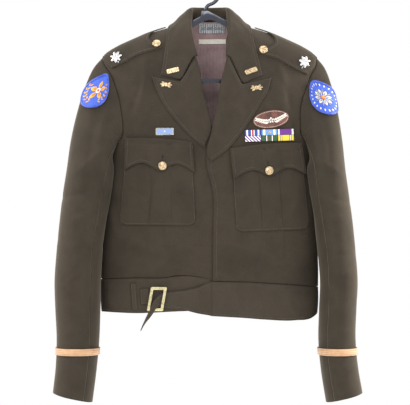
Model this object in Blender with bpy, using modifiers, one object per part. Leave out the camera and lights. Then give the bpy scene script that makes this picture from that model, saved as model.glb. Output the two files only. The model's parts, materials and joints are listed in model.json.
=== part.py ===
"""Short uniform jacket of wool, hanging on a moulded plastic hanger.

Millimetres in the tables, metres in the scene. X runs to the wearer's left, -Y to the front, +Z up.
The origin is the inner top of the hanger's hook, so every level is negative.
"""

import math
from collections import namedtuple

import bmesh
import bpy
import numpy as np
from mathutils import Matrix, Vector
from mathutils.bvhtree import BVHTree

# General sizes

MM = 0.001
CLOTH = 2.0
LINING = 1.0
SEAM = 0.3
CLEAR = 0.7
HEM = 0.014
ROUNDNESS = 2.3
BODY_MIDDLE = (0, 0, -350)
NEWTON_STEPS = 4
JOIN = 1e-6
RIGHT, LEFT = -1, 1
SIDE_NAME = {RIGHT: "right", LEFT: "left"}

# The body is a stack of rounded rings, with the shoulder line as their side points

Ring = namedtuple("Ring", "level half_width front back")
BODY = [
    Ring(-74, 26, 12, 22),
    Ring(-83, 41, 17, 24),
    Ring(-98, 76, 25, 28),
    Ring(-103, 94, 28, 30),
    Ring(-110, 115, 32, 33),
    Ring(-118, 134, 36, 36),
    Ring(-125.5, 151, 39, 38),
    Ring(-133, 168, 42, 40),
    Ring(-140.5, 182, 44.5, 42),
    Ring(-148, 194, 47, 44),
    Ring(-156, 204, 49.5, 46),
    Ring(-166, 206, 52.5, 48),
    Ring(-200, 206, 62, 53),
    Ring(-260, 206, 72, 58),
    Ring(-330, 206, 77, 59),
    Ring(-420, 206, 76, 56),
    Ring(-510, 207, 71, 51),
    Ring(-560, 209, 61, 45),
    Ring(-580, 209, 51, 38),
    Ring(-620, 208, 47, 35),
    Ring(-665, 207, 45, 33),
]
FRONT_COLUMNS, BACK_COLUMNS, SIDE_ROWS = 13, 9, 9
NECK_SHARES = (0, 0.06, 0.5, 1)
NECK_LEVEL = -83
BACK_NECK_LEVEL = -84
TIP_LEVEL = -156
ARMPIT_LEVEL = -337
GORGE_LEVEL = -158

# Soft rolls of the cloth: a ridge between two places, higher for a plus sign and hollow for a minus

Fold = namedtuple("Fold", "face x_from level_from x_to level_to half_width height")
FOLDS = [
    Fold("front", -118, -190, -152, -300, 13, 4.5),
    Fold("front", -138, -215, -160, -310, 8, -3.0),
    Fold("front", 124, -195, 158, -305, 13, 4.5),
    Fold("front", 143, -220, 166, -315, 8, -3.0),
    Fold("front", -112, -490, -116, -556, 16, 2.0),
    Fold("front", 104, -500, 110, -560, 16, 2.0),
    Fold("back", -120, -190, -152, -320, 15, 4.5),
    Fold("back", 120, -190, 152, -320, 15, 4.5),
    Fold("back", -62, -330, -78, -560, 26, 4.0),
    Fold("back", 66, -350, 72, -560, 26, 4.0),
]

# Border lines of the panels, seen from the front: place across and level

ARMHOLE_FRONT = {
    RIGHT: [(-191, -183), (-183, -203), (-175.5, -222), (-170.5, -241), (-167, -262), (-164, -288), (-166, -311)],
    LEFT: [(193, -190), (187, -209), (180.5, -224), (175.5, -240), (172, -260), (173, -287), (177.5, -314)],
}
ARMPIT_FRONT = {RIGHT: [(-62, -326), (-76, -334)], LEFT: [(70, -329), (79, -334.5)]}
ARMHOLE_BACK = [(196, -185), (188, -205), (181, -230), (177, -255), (174, -285), (176, -310)]
BREAK_RIGHT = [
    (-37, -98), (-35.5, -115), (-31.5, -141), (-21.5, -170), (-15.5, -197),
    (-11.5, -226), (-4, -254), (2, -277), (4, -296),
]
BREAK_LEFT = [
    (37, -98), (36.5, -123), (35.5, -156), (29.5, -174), (22, -202),
    (18, -226), (12.5, -254), (8, -275), (4.5, -296),
]
EDGE_RIGHT = [(22, -330), (24, -420), (24, -500)]
EDGE_LEFT = [(-5, -334), (-6.5, -353), (-3, -380), (4, -400), (7, -422), (6.5, -490), (6, -540)]
OVERLAP = 3.0
OVERLAP_FULL, OVERLAP_GONE = 32.0, 78.0

Waist = namedtuple("Waist", "across seam hem")
WAIST_RIGHT = [
    Waist(-209, -579.5, -643), Waist(-130, -577, -645), Waist(-90, -577, -643),
    Waist(-50, -572, -641), Waist(-12, -576, -640), Waist(25, -580, -640),
]
WAIST_LEFT = [
    Waist(3, -582, -650), Waist(60, -584, -653.5), Waist(110, -587, -657.5),
    Waist(165, -591, -659), Waist(200, -594, -653), Waist(209, -594.5, -646),
]

# Lapels: the outer edge from the peak to the foot, and the gorge from the break to the peak

LAPEL_OUTER = {
    RIGHT: [(-110, -195), (-99.5, -224), (-86.5, -249), (-70, -272), (-50.5, -295), (-33, -312), (-9, -332)],
    LEFT: [(117.5, -197.5), (111.5, -221), (97, -246), (74, -284), (58.5, -305), (37.5, -331), (4, -357)],
}
LAPEL_GORGE = {
    RIGHT: [(-26.5, -158), (-46, -192), (-56, -205.5), (-110, -195)],
    LEFT: [(35.5, -158), (52, -192), (62, -211), (117.5, -197.5)],
}
LAPEL_FOOT = {RIGHT: (-8.5, -326), LEFT: (-4.5, -349)}
LAPEL_ROLL = 4.6
LAPEL_ASIDE = 0.8
LINING_FOOT = -345
LINING_DEPTH = CLOTH + LINING + CLEAR + 0.9

# Collar: sections from the centre back to the gorge. The stand meets the neck, the leaf turns over the roll

Section = namedtuple("Section", "roll_x roll_y roll_z mid_x mid_y mid_z edge_x edge_y edge_z")
COLLAR = [
    Section(0, 31, -57.5, 0, 37, -84, 0, 41, -118),
    Section(20, 27, -57.5, 30, 34, -82, 42, 39, -115),
    Section(33, 13, -58.5, 54, 17, -76, 73, 22, -99),
    Section(36, -1, -62, 58, 0, -78, 76, -4, -97),
    Section(36.5, -14, -75.5, 60, -16, -93, 79, -22, -113),
    Section(36, -30, -104, 62, -34, -119, 84, -34, -134),
    Section(32.5, -44, -133, 60, -44, -155, 89, -44, -160),
    Section(30, -54, -156, 57, -56, -204.5, 96, -54, -193),
]
COLLAR_ROWS = 13
COLLAR_LIFTS = (0, 0, 0, 5.0, 4.2, 3.5, 3.4, 3.4, 3.6)
ROLL_RADIUS = 4.5
COLLAR_WALL = 1.8
COLLAR_FOOT_GAP, COLLAR_FOOT_ASIDE, COLLAR_FOOT_LIFT = 0.9, 2.6, 2.8

# Sleeves: rings from just under the armhole down to the cuff

SleeveRing = namedtuple("SleeveRing", "level inner outer front back")
SLEEVE = {
    RIGHT: [
        SleeveRing(-366, 174, 272, -88, 42),
        SleeveRing(-425, 186, 281, -91, 40),
        SleeveRing(-480, 196, 287, -95, 36),
        SleeveRing(-540, 205, 293, -99, 29),
        SleeveRing(-600, 207, 295, -101, 20),
        SleeveRing(-660, 208, 292, -103, 12),
        SleeveRing(-715, 211, 290, -105, 6),
        SleeveRing(-803, 222, 297, -112, 0),
    ],
    LEFT: [
        SleeveRing(-366, 183, 259, -88, 42),
        SleeveRing(-425, 191, 267, -91, 40),
        SleeveRing(-480, 200, 274, -95, 36),
        SleeveRing(-540, 207, 280, -99, 29),
        SleeveRing(-600, 211, 282, -101, 20),
        SleeveRing(-660, 207, 278, -103, 12),
        SleeveRing(-715, 208, 278, -105, 6),
        SleeveRing(-803, 221, 290, -112, 0),
    ],
}
SLEEVE_AROUND = 10
SLEEVE_SEAMS = (0.35, 0.75)
SLEEVE_HEM = 0.01
CAP_ROWS = 5
ARM_ROWS = 8
CUFF_RISE = 9.0
SLEEVE_ASIDE, SLEEVE_OFF_FRONT, SLEEVE_OFF_BACK = 0.8, 0.9, 2.5
SLEEVE_SEAM_HALF = SEAM / 2 + 0.2
ELBOW_LEVEL = -560
BRAID_LEVEL, BRAID_HEIGHT, BRAID_WALL = -716, 13, 1.2
BRAID_LIFT = BRAID_WALL + 1.9

# Crumples of the sleeve: level, place round it as a share of a turn, half height and depth

Crease = namedtuple("Crease", "level turn half_height half_turn depth")
CREASES = [
    Crease(-395, 0.36, 12, 0.16, -4.0),
    Crease(-445, 0.30, 11, 0.14, -3.0),
    Crease(-520, 0.22, 15, 0.16, -3.5),
    Crease(-562, 0.40, 12, 0.15, -3.5),
    Crease(-640, 0.28, 14, 0.14, -2.5),
]

# Pockets: corners across and down, then the pleat's two lines

Pocket = namedtuple("Pocket", "top_in top_out foot_in foot_out pleat_in pleat_out")
POCKETS = {
    RIGHT: Pocket((-33, -331), (-159, -331), (-27, -478), (-170, -477), (-73, -81), (-110, -116)),
    LEFT: Pocket((42, -344), (176, -335), (51, -490), (189, -485), (91, 99), (128, 134)),
}
FLAPS = {
    RIGHT: ((-32, -320), (-160, -312), (-28, -377), (-162, -372)),
    LEFT: ((38, -332), (175, -321), (45, -390), (184, -380)),
}
POCKET_CORNER = 13.0
PLEAT_RAISE = 2.0
POCKET_WALL, POCKET_FULL = 1.6, 1.6
FLAP_SCALLOP, FLAP_RISE = 14.0, 3.0
FLAP_OFF = CLEAR + CLOTH + 1.2
FLAP_BUTTON = {RIGHT: (-88.5, -365), LEFT: (112.5, -374)}

# Shoulder straps: the front edge from the sleeve to the collar, and the place of button and leaf

STRAP_EDGE = {
    RIGHT: [(-186, -178.5), (-174, -173), (-156, -165), (-141, -156), (-123, -149), (-103, -144), (-88, -138)],
    LEFT: [(186, -191), (175, -186), (156, -177), (140, -168), (124, -160), (106, -155), (91, -149)],
}
STRAP_TOP_ANGLE, STRAP_LEAN = 84.0, 9
STRAP_OFF = CLEAR + CLOTH + 0.6
STRAP_BUTTON = {RIGHT: (-92, -120), LEFT: (95, -130)}
STRAP_LEAF = {RIGHT: (-178, -157), LEFT: (181, -166)}
LEAF_RADIUS, LEAF_TILT = 12.0, -24

# Small pieces on the chest: place across, level, width, height and tilt in degrees

Plate = namedtuple("Plate", "across level width height tilt")
RIBBONS = Plate(113.5, -307, 94, 22, 2.0)
CITATION = Plate(-84.5, -300, 34.5, 14, 0.0)
BADGE = Plate(116.5, -276.5, 69, 34, 9.0)
COLLAR_PIN = {RIGHT: Plate(-69.5, -184, 24, 9, 12.0), LEFT: Plate(79, -184.5, 24, 9, 22.0)}
LAPEL_PIN = {RIGHT: Plate(-82, -211, 25, 9, -8.0), LEFT: Plate(89, -217, 25, 9, 8.0)}
LABEL = Plate(4.5, -98.5, 50, 19, 0.0)
NAME_TAPE = Plate(5.5, -123.5, 53, 9, 0.0)
PIN_WALL = 1.6
PIN_OFF, COLLAR_PIN_OFF, LEAF_PIN_OFF = SEAM + 0.2, SEAM + 0.7, SEAM + 0.4
BAR_WALL, BADGE_WALL, LABEL_WALL = 1.8, 1.6, 0.6
PATCH_WIDTH, PATCH_WALL, PATCH_BEND, PATCH_AXIS_Y = 66.0, 1.1, 52.0, -24.0
PATCH = {RIGHT: (-230, -221, 58.0), LEFT: (229, -234, 62.0)}

# Waistband and its hardware

BAND_LEVEL, BAND_WALL, BAND_ROWS = -610, 2.2, 4
BAND_BULGE, BAND_DROP, BAND_SEAM_ANGLE = 1.2, SEAM + 0.9, 0.3
BAND_ENDS = (23, 4)
TAB_WALL, TAB_LIFT, TAB_ON_BAND = 1.8, CLOTH - 1.6, -640
LOOP_WALL, KEEPER_WALL = 1.6, 1.4
BUCKLE = Plate(-99, -617, 31, 46, 10.0)
BUCKLE_BAR, BUCKLE_THICK, BUCKLE_LIFT = 5.5, 2.4, 7.0
LOOP = Plate(-144, -614, 10, 52, 4.0)
KEEPER = Plate(-123.5, -613, 17, 30, 4.0)
Tab = namedtuple("Tab", "across top foot lift_top lift_foot")
TAB = [
    Tab(0, -586, -649, 2.8, 2.8),
    Tab(-23, -595, -645, 3.0, 3.0),
    Tab(-52, -601, -638, 3.2, 3.2),
    Tab(-76, -604, -636.5, 3.2, 3.2),
    Tab(-90, -606, -634.5, 3.4, 3.6),
    Tab(-97, -611, -632.0, 4.6, 9.5),
    Tab(-101, -615, -633.5, 6.5, 12.8),
    Tab(-106, -621, -643, 9.5, 13.0),
    Tab(-112, -635, -652, 13.0, 13.0),
    Tab(-122, -655, -664, 13.0, 11.0),
    Tab(-131, -676, -680, 8.0, 7.0),
]

TAB_STATIONS = (*np.linspace(0, -88, 9), *np.linspace(-92, -108, 7), -113, -119, -125, -131)

# Button and hanger

BUTTON_RADIUS = 8.1
BUTTON_PROFILE = [(0, 4.6), (3.4, 4.2), (6.2, 3.1), (7.7, 1.7), (BUTTON_RADIUS, 0.9), (7.6, 0), (0, 0)]
HOOK_RADIUS, HOOK_WIRE = 25.5, 3.4
HOOK_FOOT = (-9.0, -65.6)
HANGER_THICK = 5.0
HANGER_REACH = 190.0
ARM_HEIGHT = 13.0
ARM_DROP = 6.0
BAR_TOP, BAR_FOOT = -196.0, -205.0
WEB_FOOT = -83.0

# Colour, roughness and metallic value of each material

MATERIALS = {
    "wool": ("443D37", 0.9, 0.0),
    "satin_lining": ("7A6464", 0.45, 0.0),
    "label_satin": ("8A8D92", 0.4, 0.0),
    "cotton_tape": ("F2EBD8", 0.85, 0.0),
    "gold_braid": ("C79B77", 0.6, 0.0),
    "brass": ("D8B26A", 0.3, 1.0),
    "pale_brass": ("D9CC9C", 0.28, 1.0),
    "silver": ("D5D6D8", 0.3, 1.0),
    "patch_twill": ("415FC8", 0.85, 0.0),
    "leather": ("4A3226", 0.6, 0.0),
    "ribbon": ("6A5B93", 0.7, 0.0),
    "enamel": ("6F8FC9", 0.3, 0.0),
    "navy_plastic": ("2B3152", 0.25, 0.0),
}


# Tables and lines


def smooth_row(rows, key):
    """Reads a table between its rows with a cubic curve. The first column is the key."""
    data = np.array(rows, float)
    if data[0, 0] > data[-1, 0]:
        data = data[::-1]
    keys, values = data[:, 0], data[:, 1:]
    slopes = np.gradient(values, keys, axis=0)
    key = min(max(key, keys[0]), keys[-1])
    i = min(int(np.searchsorted(keys, key, side="right")) - 1, len(keys) - 2)
    step = keys[i + 1] - keys[i]
    t = (key - keys[i]) / step
    start, end = values[i], values[i + 1]
    lean_start, lean_end = slopes[i] * step, slopes[i + 1] * step
    return (
        (2 * t**3 - 3 * t**2 + 1) * start
        + (t**3 - 2 * t**2 + t) * lean_start
        + (3 * t**2 - 2 * t**3) * end
        + (t**3 - t**2) * lean_end
    )


def spread(count, hem=HEM):
    """Shares from 0 to 1 in even steps, with a narrow first and last one for the sewn edges."""
    return np.concatenate([[0], np.linspace(hem, 1 - hem, count - 1), [1]])


def line_through(points, shares, curved=True, place=None):
    """Gives the points at some shares of the length of a line through the given ones.

    place turns a point of the line into a point in space, to measure the length there.
    """
    points = np.array(points, float)
    reach = np.concatenate([[0], np.cumsum(np.linalg.norm(np.diff(points, axis=0), axis=1))])
    fine = np.linspace(0, reach[-1], 240)
    if curved and len(points) > 2:
        keyed = np.column_stack([reach, points])
        dense = np.array([smooth_row(keyed, value) for value in fine])
    else:
        dense = np.column_stack([np.interp(fine, reach, column) for column in points.T])
    measured = dense if place is None else np.array([place(*point) for point in dense])
    run = np.concatenate([[0], np.cumsum(np.linalg.norm(np.diff(measured, axis=0), axis=1))])
    stops = np.array(shares) * run[-1]
    return np.column_stack([np.interp(stops, run, column) for column in dense.T])


def filled(top, foot, start, end, across, down):
    """Fills four border lines with a grid of points, as a Coons patch. Rows run from top to foot."""
    across = np.array(across)[None, :, None]
    down = np.array(down)[:, None, None]
    between_sides = (1 - across) * start[:, None] + across * end[:, None]
    between_ends = (1 - down) * top[None] + down * foot[None]
    corners = (1 - down) * ((1 - across) * top[0] + across * top[-1])
    corners = corners + down * ((1 - across) * foot[0] + across * foot[-1])
    return between_sides + between_ends - corners


def eased(value, start, end):
    """Rises smoothly from 0 at start to 1 at end."""
    t = min(max((value - start) / (end - start), 0), 1)
    return t * t * (3 - 2 * t)


# The body's surface


def fold_height(face, x, level):
    """Adds up the soft rolls of one face of the body at a place."""
    height = 0
    for fold in FOLDS:
        if fold.face != face:
            continue
        run = np.array([fold.x_to - fold.x_from, fold.level_to - fold.level_from], float)
        away = np.array([x - fold.x_from, level - fold.level_from])
        share = float(away @ run / (run @ run))
        nearest = min(max(share, 0.15), 0.85)
        distance = np.linalg.norm(away - nearest * run)
        height += fold.height * math.exp(-((distance / fold.half_width) ** 2))
    return height


def body_base(angle, level):
    """A point of the body: angle 0 is the centre front, 90 the wearer's left side, 180 the centre back."""
    half_width, front, back = smooth_row(BODY, level)
    sine, cosine = math.sin(math.radians(angle)), math.cos(math.radians(angle))
    power = 2 / ROUNDNESS
    x = half_width * math.copysign(abs(sine) ** power, sine)
    face, depth, out = ("front", front, -1) if cosine > 0 else ("back", back, 1)
    y = out * (depth * abs(cosine) ** power + fold_height(face, x, level) * abs(cosine) ** 0.5)
    return np.array([x, y, level])


def body_point(angle, level, lift=0.0):
    """A point of the body, moved out by lift along the cloth's own normal."""
    point = body_base(angle, level)
    if not lift:
        return point
    around = body_base(angle + 1, level) - body_base(angle - 1, level)
    down = body_base(angle, level - 1) - body_base(angle, level + 1)
    normal = np.cross(down, around)
    normal = normal / np.linalg.norm(normal)
    return point + normal * lift


def pattern_angle(x, level):
    """The angle whose body point lies at x, on the front half."""
    half_width = smooth_row(BODY, level)[0]
    share = min(abs(x) / half_width, 1) ** (ROUNDNESS / 2)
    return math.copysign(math.degrees(math.asin(share)), x)


def on_front(points):
    """Turns places seen from the front into angle and level."""
    return [(pattern_angle(x, level), level) for x, level in points]


def on_back(points, side):
    """Turns places seen from the front into angle and level on the back half."""
    return [(side * (180 - abs(pattern_angle(x, level))), level) for x, level in points]


def waist_at(x, angle):
    """Levels of the waist seam and of the hem. Behind, they run straight from side to side."""
    if abs(angle) > 90:
        share = (x + 209) / 418
        return (
            WAIST_RIGHT[0].seam + share * (WAIST_LEFT[-1].seam - WAIST_RIGHT[0].seam),
            WAIST_RIGHT[0].hem + share * (WAIST_LEFT[-1].hem - WAIST_RIGHT[0].hem),
        )
    return tuple(smooth_row(WAIST_RIGHT if angle < 0 else WAIST_LEFT, x))


def overlap_lift(x):
    """How far the left front and its band stand out to clear the right ones at the centre."""
    return OVERLAP * (1 - eased(x, OVERLAP_FULL, OVERLAP_GONE))


# Objects


def linear(hex_colour):
    """Turns an sRGB hex colour into linear values."""
    channels = [int(hex_colour[i : i + 2], 16) / 255 for i in (0, 2, 4)]
    return [c / 12.92 if c <= 0.04045 else ((c + 0.055) / 1.055) ** 2.4 for c in channels]


def make_material(name):
    """Makes one of the listed materials, once."""
    if name in bpy.data.materials:
        return bpy.data.materials[name]
    colour, roughness, metallic = MATERIALS[name]
    material = bpy.data.materials.new(name)
    material.use_nodes = True
    shader = material.node_tree.nodes["Principled BSDF"]
    shader.inputs["Base Color"].default_value = (*linear(colour), 1)
    shader.inputs["Roughness"].default_value = roughness
    shader.inputs["Metallic"].default_value = metallic
    return material


def place_object(name, data, material, matrix=None):
    """Adds an object with its material to the jacket's collection."""
    data.materials.append(make_material(material))
    obj = bpy.data.objects.new(name, data)
    if matrix is not None:
        obj.matrix_world = matrix
    bpy.data.collections["ike_jacket"].objects.link(obj)
    return obj


def cloth(name, grids, material, inside, wall=CLOTH):
    """Makes a wall of cloth from grids of points on its outer face. Points that two grids share are joined.

    inside is a point behind the cloth, which tells its outer face from its inner one.
    """
    bm = bmesh.new()
    for grid in grids:
        rows, columns = grid.shape[:2]
        verts = bmesh.ops.create_grid(bm, x_segments=columns - 1, y_segments=rows - 1, size=1)["verts"]
        for vert in verts:
            column = round((vert.co.x + 1) / 2 * (columns - 1))
            row = round((vert.co.y + 1) / 2 * (rows - 1))
            vert.co = Vector(grid[row, column]) * MM
    bmesh.ops.remove_doubles(bm, verts=bm.verts, dist=JOIN)
    bm.normal_update()
    behind = Vector(inside) * MM
    facing = sum(f.normal.dot(f.calc_center_median() - behind) * f.calc_area() for f in bm.faces)
    if facing < 0:
        bmesh.ops.reverse_faces(bm, faces=bm.faces)
    mesh = bpy.data.meshes.new(name)
    bm.to_mesh(mesh)
    bm.free()
    mesh.shade_smooth()
    obj = place_object(name, mesh, material)
    solid = obj.modifiers.new("wall", "SOLIDIFY")
    solid.thickness = wall * MM
    solid.offset = -1
    return obj


def skin(obj):
    """The outer face of a cloth piece, to lay other pieces on."""
    points = [v.co / MM for v in obj.data.vertices]
    return BVHTree.FromPolygons(points, [tuple(p.vertices) for p in obj.data.polygons])


def front_of(skins, x, level, start=-400.0):
    """The foremost point of some skins at a place seen from the front."""
    found = None
    for tree in skins:
        hit = tree.ray_cast(Vector((x, start, level)), Vector((0, 1, 0)))
        if hit[0] is not None and (found is None or hit[0].y < found[0].y):
            found = hit[:2]
    return found


def laid(skins, x, level, lift, reach=0.0, start=-400.0):
    """A point lifted off whatever lies under it, or within reach of it, seen from the front."""
    heights = []
    for dx, dz in ((0, 0), (reach, 0), (-reach, 0), (0, reach), (0, -reach)):
        found = front_of(skins, x + dx, level + dz, start)
        if found:
            heights.append(found[0].y)
    if not heights:
        heights = [skins[0].find_nearest(Vector((x, max(start, -100.0), level)))[0].y]
    return np.array([x, min(heights) - lift, level])


def body_fill(point):
    """Under 1 inside the body, 1 on its surface and over 1 outside it."""
    half_width, front, back = smooth_row(BODY, point[2])
    depth = front + overlap_lift(abs(point[0])) if point[1] < 0 else back
    return (abs(point[0]) / half_width) ** ROUNDNESS + (abs(point[1]) / depth) ** ROUNDNESS


def off_body(point, lift):
    """Moves a point out, square to the body's surface, until it stands at least lift off it."""
    point = np.array(point, float)
    for _ in range(NEWTON_STEPS):
        fill = body_fill(point)
        slope = np.array([body_fill(point + step) - body_fill(point - step) for step in np.eye(3) * 0.5])
        steepness = np.linalg.norm(slope)
        height = (fill - 1) / steepness
        if height >= lift:
            break
        point = point + slope / steepness * (lift - height)
    return point


def seat(skins, x, level, gap, tilt=0.0, start=-400.0):
    """The matrix that sets a flat-backed piece on a skin, its own +Z facing out."""
    found = front_of(skins, x, level, start)
    if found is None:
        found = skins[0].find_nearest(Vector(body_base(pattern_angle(x, level), level)))[:2]
    point, normal = found
    across = Vector((1, 0, 0)) - normal * normal.x
    across.normalize()
    up = normal.cross(across)
    turn = Matrix((across, up, normal)).transposed().to_4x4()
    return Matrix.Translation((point + normal * gap) * MM) @ turn @ Matrix.Rotation(math.radians(tilt), 4, "Z")


def flat_plate(name, outlines, thickness, material, matrix):
    """Cuts a flat plate from closed outlines. A second outline inside the first is a hole."""
    curve = bpy.data.curves.new(name, "CURVE")
    curve.dimensions = "2D"
    curve.fill_mode = "BOTH"
    curve.extrude = thickness / 2 * MM
    for outline in outlines:
        spline = curve.splines.new("POLY")
        spline.points.add(len(outline) - 1)
        for point, (x, y) in zip(spline.points, outline):
            point.co = (x * MM, y * MM, 0, 1)
        spline.use_cyclic_u = True
    return place_object(name, curve, material, matrix @ Matrix.Translation((0, 0, thickness / 2 * MM)))


def turned(name, profile, material, matrix):
    """Turns a profile round its own Z axis."""
    mesh = bpy.data.meshes.new(name)
    points = [(x * MM, 0, z * MM) for x, z in profile]
    mesh.from_pydata(points, [(i, i + 1) for i in range(len(points) - 1)], [])
    obj = place_object(name, mesh, material, matrix)
    screw = obj.modifiers.new("turn", "SCREW")
    screw.steps = 16
    screw.render_steps = 16
    screw.use_merge_vertices = True
    screw.merge_threshold = 1e-5
    screw.use_smooth_shade = True
    return obj


# Panels of the body


def armhole(side, face):
    """The armhole's line from the shoulder tip to the armpit, as angle and level."""
    if face == "front":
        middle = on_front(ARMHOLE_FRONT[side]) + ARMPIT_FRONT[side]
    else:
        middle = on_back(ARMHOLE_BACK, side) + [(side * 118, -326), (side * 104, -334)]
    points = [(side * 90, TIP_LEVEL)] + middle + [(side * 90, ARMPIT_LEVEL)]
    return line_through(points, np.linspace(0, 1, SLEEVE_AROUND + 1), place=body_base)


def outer_border(side, face):
    """A panel's border from the shoulder tip down the armhole and side seam, with its rows' shares."""
    hole = armhole(side, face)
    foot_level = waist_at(side * 209, side * 90)[0]
    ends = [(side * 90, ARMPIT_LEVEL), (side * 90, foot_level)]
    side_seam = line_through(ends, np.linspace(0, 1, SIDE_ROWS + 1))
    near_tip = hole[0] + (hole[1] - hole[0]) * 0.1
    outer = np.vstack([hole[:1], near_tip, hole[1:], side_seam[1:]])
    down = np.concatenate([[0, 0.006], np.linspace(0, 1, len(outer) - 1)[1:]])
    return outer, down


def waist_border(start, end, across):
    """The foot of a panel, along the waist seam."""
    foot = np.array([start * (1 - u) + end * u for u in across])
    for point in foot[1:-1]:
        x = body_base(point[0], point[1])[0]
        point[1] = waist_at(x, point[0])[0]
    return foot


def on_body(grid, gap, lift=None):
    """Turns a grid of angles and levels into points, drawn back from the side seams by a gap."""
    points = np.zeros((*grid.shape[:2], 3))
    for row in range(grid.shape[0]):
        for column in range(grid.shape[1]):
            angle, level = grid[row, column]
            x = body_base(angle, level)[0]
            points[row, column] = body_point(angle, level, lift(x) if lift else 0)
            points[row, column][1] += gap
    return points


def front_panel(side, lift=None):
    """One front, between its inner line, the shoulder, the armhole and the waist."""
    outer, down = outer_border(side, "front")
    across = spread(FRONT_COLUMNS)
    start = line_through(front_inner(side), down, place=body_base)
    top = line_through([start[0], outer[0]], across, curved=False, place=body_base)
    foot = waist_border(start[-1], outer[-1], across)
    return on_body(filled(top, foot, start, outer, across, down), -SEAM / 2, lift)


def front_inner(side):
    """The inner line of a front: neck, break line, then the front edge down to the waist."""
    line, edge = (BREAK_RIGHT, EDGE_RIGHT) if side == RIGHT else (BREAK_LEFT, EDGE_LEFT)
    last_x = edge[-1][0]
    foot = (last_x, waist_at(last_x, side * 5)[0])
    neck = [(side * 90, NECK_LEVEL), (side * 52, NECK_LEVEL - 4)]
    return neck + on_front(line + edge + [foot])


def back_halves():
    """The two halves of the back's grid. They share the centre line below the neck."""
    halves = []
    for side in (LEFT, RIGHT):
        outer, down = outer_border(side, "back")
        across = spread(BACK_COLUMNS)
        neckline = [(side * 90, NECK_LEVEL), (side * 128, NECK_LEVEL - 1), (side * 180, BACK_NECK_LEVEL)]
        neck = line_through(neckline, NECK_SHARES, place=body_base)
        middle = [(side * 180, BACK_NECK_LEVEL), (side * 180, waist_at(0, 180)[0])]
        middle = line_through(middle, np.linspace(0, 1, len(outer) - len(neck) + 1))
        inner = np.vstack([neck, middle[1:]])
        top = line_through([inner[0], outer[0]], across, curved=False, place=body_base)
        foot = waist_border(inner[-1], outer[-1], across)
        halves.append(on_body(filled(top, foot, inner, outer, across, down), SEAM / 2))
    return [halves[0], halves[1][:, ::-1]]


def lining_grid(back):
    """Only the part of the lining that shows through the open neck."""
    rows = []
    for level in np.linspace(BACK_NECK_LEVEL - 1.5, LINING_FOOT, 13):
        reach = 33 + 42 * eased(-level, 85, 125)
        row = []
        for x in np.linspace(-reach, reach, 9):
            point = Vector(body_point(180 - pattern_angle(x, level), level))
            nearest, normal, _, _ = back.find_nearest(point)
            row.append(np.array(nearest - normal * LINING_DEPTH))
        rows.append(row)
    return np.array(rows)


# Neck


def lapel_grid(side, front, rows=13, columns=7):
    """A lapel lies on its front, from the roll at the break line to its peaked edge."""
    break_line = BREAK_RIGHT if side == RIGHT else BREAK_LEFT
    gorge_start = LAPEL_GORGE[side][0]
    inner = [gorge_start] + [(x, level) for x, level in break_line if level < gorge_start[1] - 6]
    if side == LEFT:
        inner += EDGE_LEFT[:1]
    inner += [LAPEL_FOOT[side]]
    inner = [(x + side * LAPEL_ASIDE, level) for x, level in inner]
    down, across_shares = np.linspace(0, 1, rows + 1), np.linspace(0, 1, columns + 1)
    start = line_through(inner, down)
    end = line_through(LAPEL_OUTER[side], down)
    top = line_through([inner[0]] + LAPEL_GORGE[side][1:], across_shares, curved=False)
    foot = line_through([start[-1], end[-1]], across_shares, curved=False)
    grid = filled(top, foot, start, end, across_shares, down)
    points = np.zeros((*grid.shape[:2], 3))
    for row in range(rows + 1):
        for column in range(columns + 1):
            across = column / columns
            roll = LAPEL_ROLL * math.sin(math.pi * min(across * 3.2, 1) / 2) * (1 - eased(across, 0.1, 1))
            roll *= 1 - 0.75 * eased(row / rows, 0.75, 1)
            x, level = grid[row, column]
            points[row, column] = laid([front], x, level, CLEAR + CLOTH + roll, reach=3.0)
    return points


def neck_point(share, side):
    """The neckline of the panels: from the centre back to the gorge."""
    if share < 0.5:
        line = [(180, BACK_NECK_LEVEL), (128, NECK_LEVEL - 1), (90, NECK_LEVEL)]
        angle, level = line_through(line, [share * 2], place=body_base)[0]
        return body_base(side * angle, level)
    break_line = BREAK_RIGHT if side == RIGHT else BREAK_LEFT
    line = [(90, NECK_LEVEL), (52, NECK_LEVEL - 4)]
    shown = [place for place in break_line if place[1] > GORGE_LEVEL + 5] + [LAPEL_GORGE[side][0]]
    line += [(abs(angle), level) for angle, level in on_front(shown)]
    angle, level = line_through(line, [share * 2 - 1], place=body_base)[0]
    point = body_base(side * angle, level)
    return point + np.array([0, -overlap_lift(point[0]) if side == LEFT else 0, 0])


def collar_section(share, side):
    """The points of one section, from the foot of the stand over the roll to the leaf's edge."""
    keyed = [(i / (len(COLLAR) - 1), *row) for i, row in enumerate(COLLAR)]
    values = smooth_row(keyed, share)
    roll, mid, edge = values[:3], values[3:6], values[6:9]
    sway = 4.0 * eased(share, 0.6, 1.0)
    roll, mid, edge = (np.array([side * p[0] + sway, p[1], p[2]]) for p in (roll, mid, edge))
    mid[2] -= side * 3.5 * eased(share, 0.8, 1.0)
    outward = (edge - roll) * (1, 1, 0)
    outward = outward / np.linalg.norm(outward)
    foot = neck_point(share, side)
    towards = roll - foot
    foot = foot + towards / np.linalg.norm(towards) * COLLAR_FOOT_GAP
    foot[0] -= side * COLLAR_FOOT_ASIDE * eased(share, 0.5, 0.6)
    foot = off_body(foot, COLLAR_FOOT_LIFT * eased(share, 0.85, 1)) if share > 0.85 else foot
    inner = roll - outward * ROLL_RADIUS * 0.9 - np.array([0, 0, ROLL_RADIUS * 1.1])
    outer = roll + outward * ROLL_RADIUS * 1.2 - np.array([0, 0, ROLL_RADIUS * 0.5])
    front_share = eased(share, 0.55, 0.8)
    inner = inner * (1 - front_share) + (foot * 0.35 + roll * 0.65 - outward * 1.0) * front_share
    between = (mid + edge) / 2
    before = (outer + mid) / 2
    return [foot, (foot + inner) / 2, inner, roll, outer, before, mid, between, edge]


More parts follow.
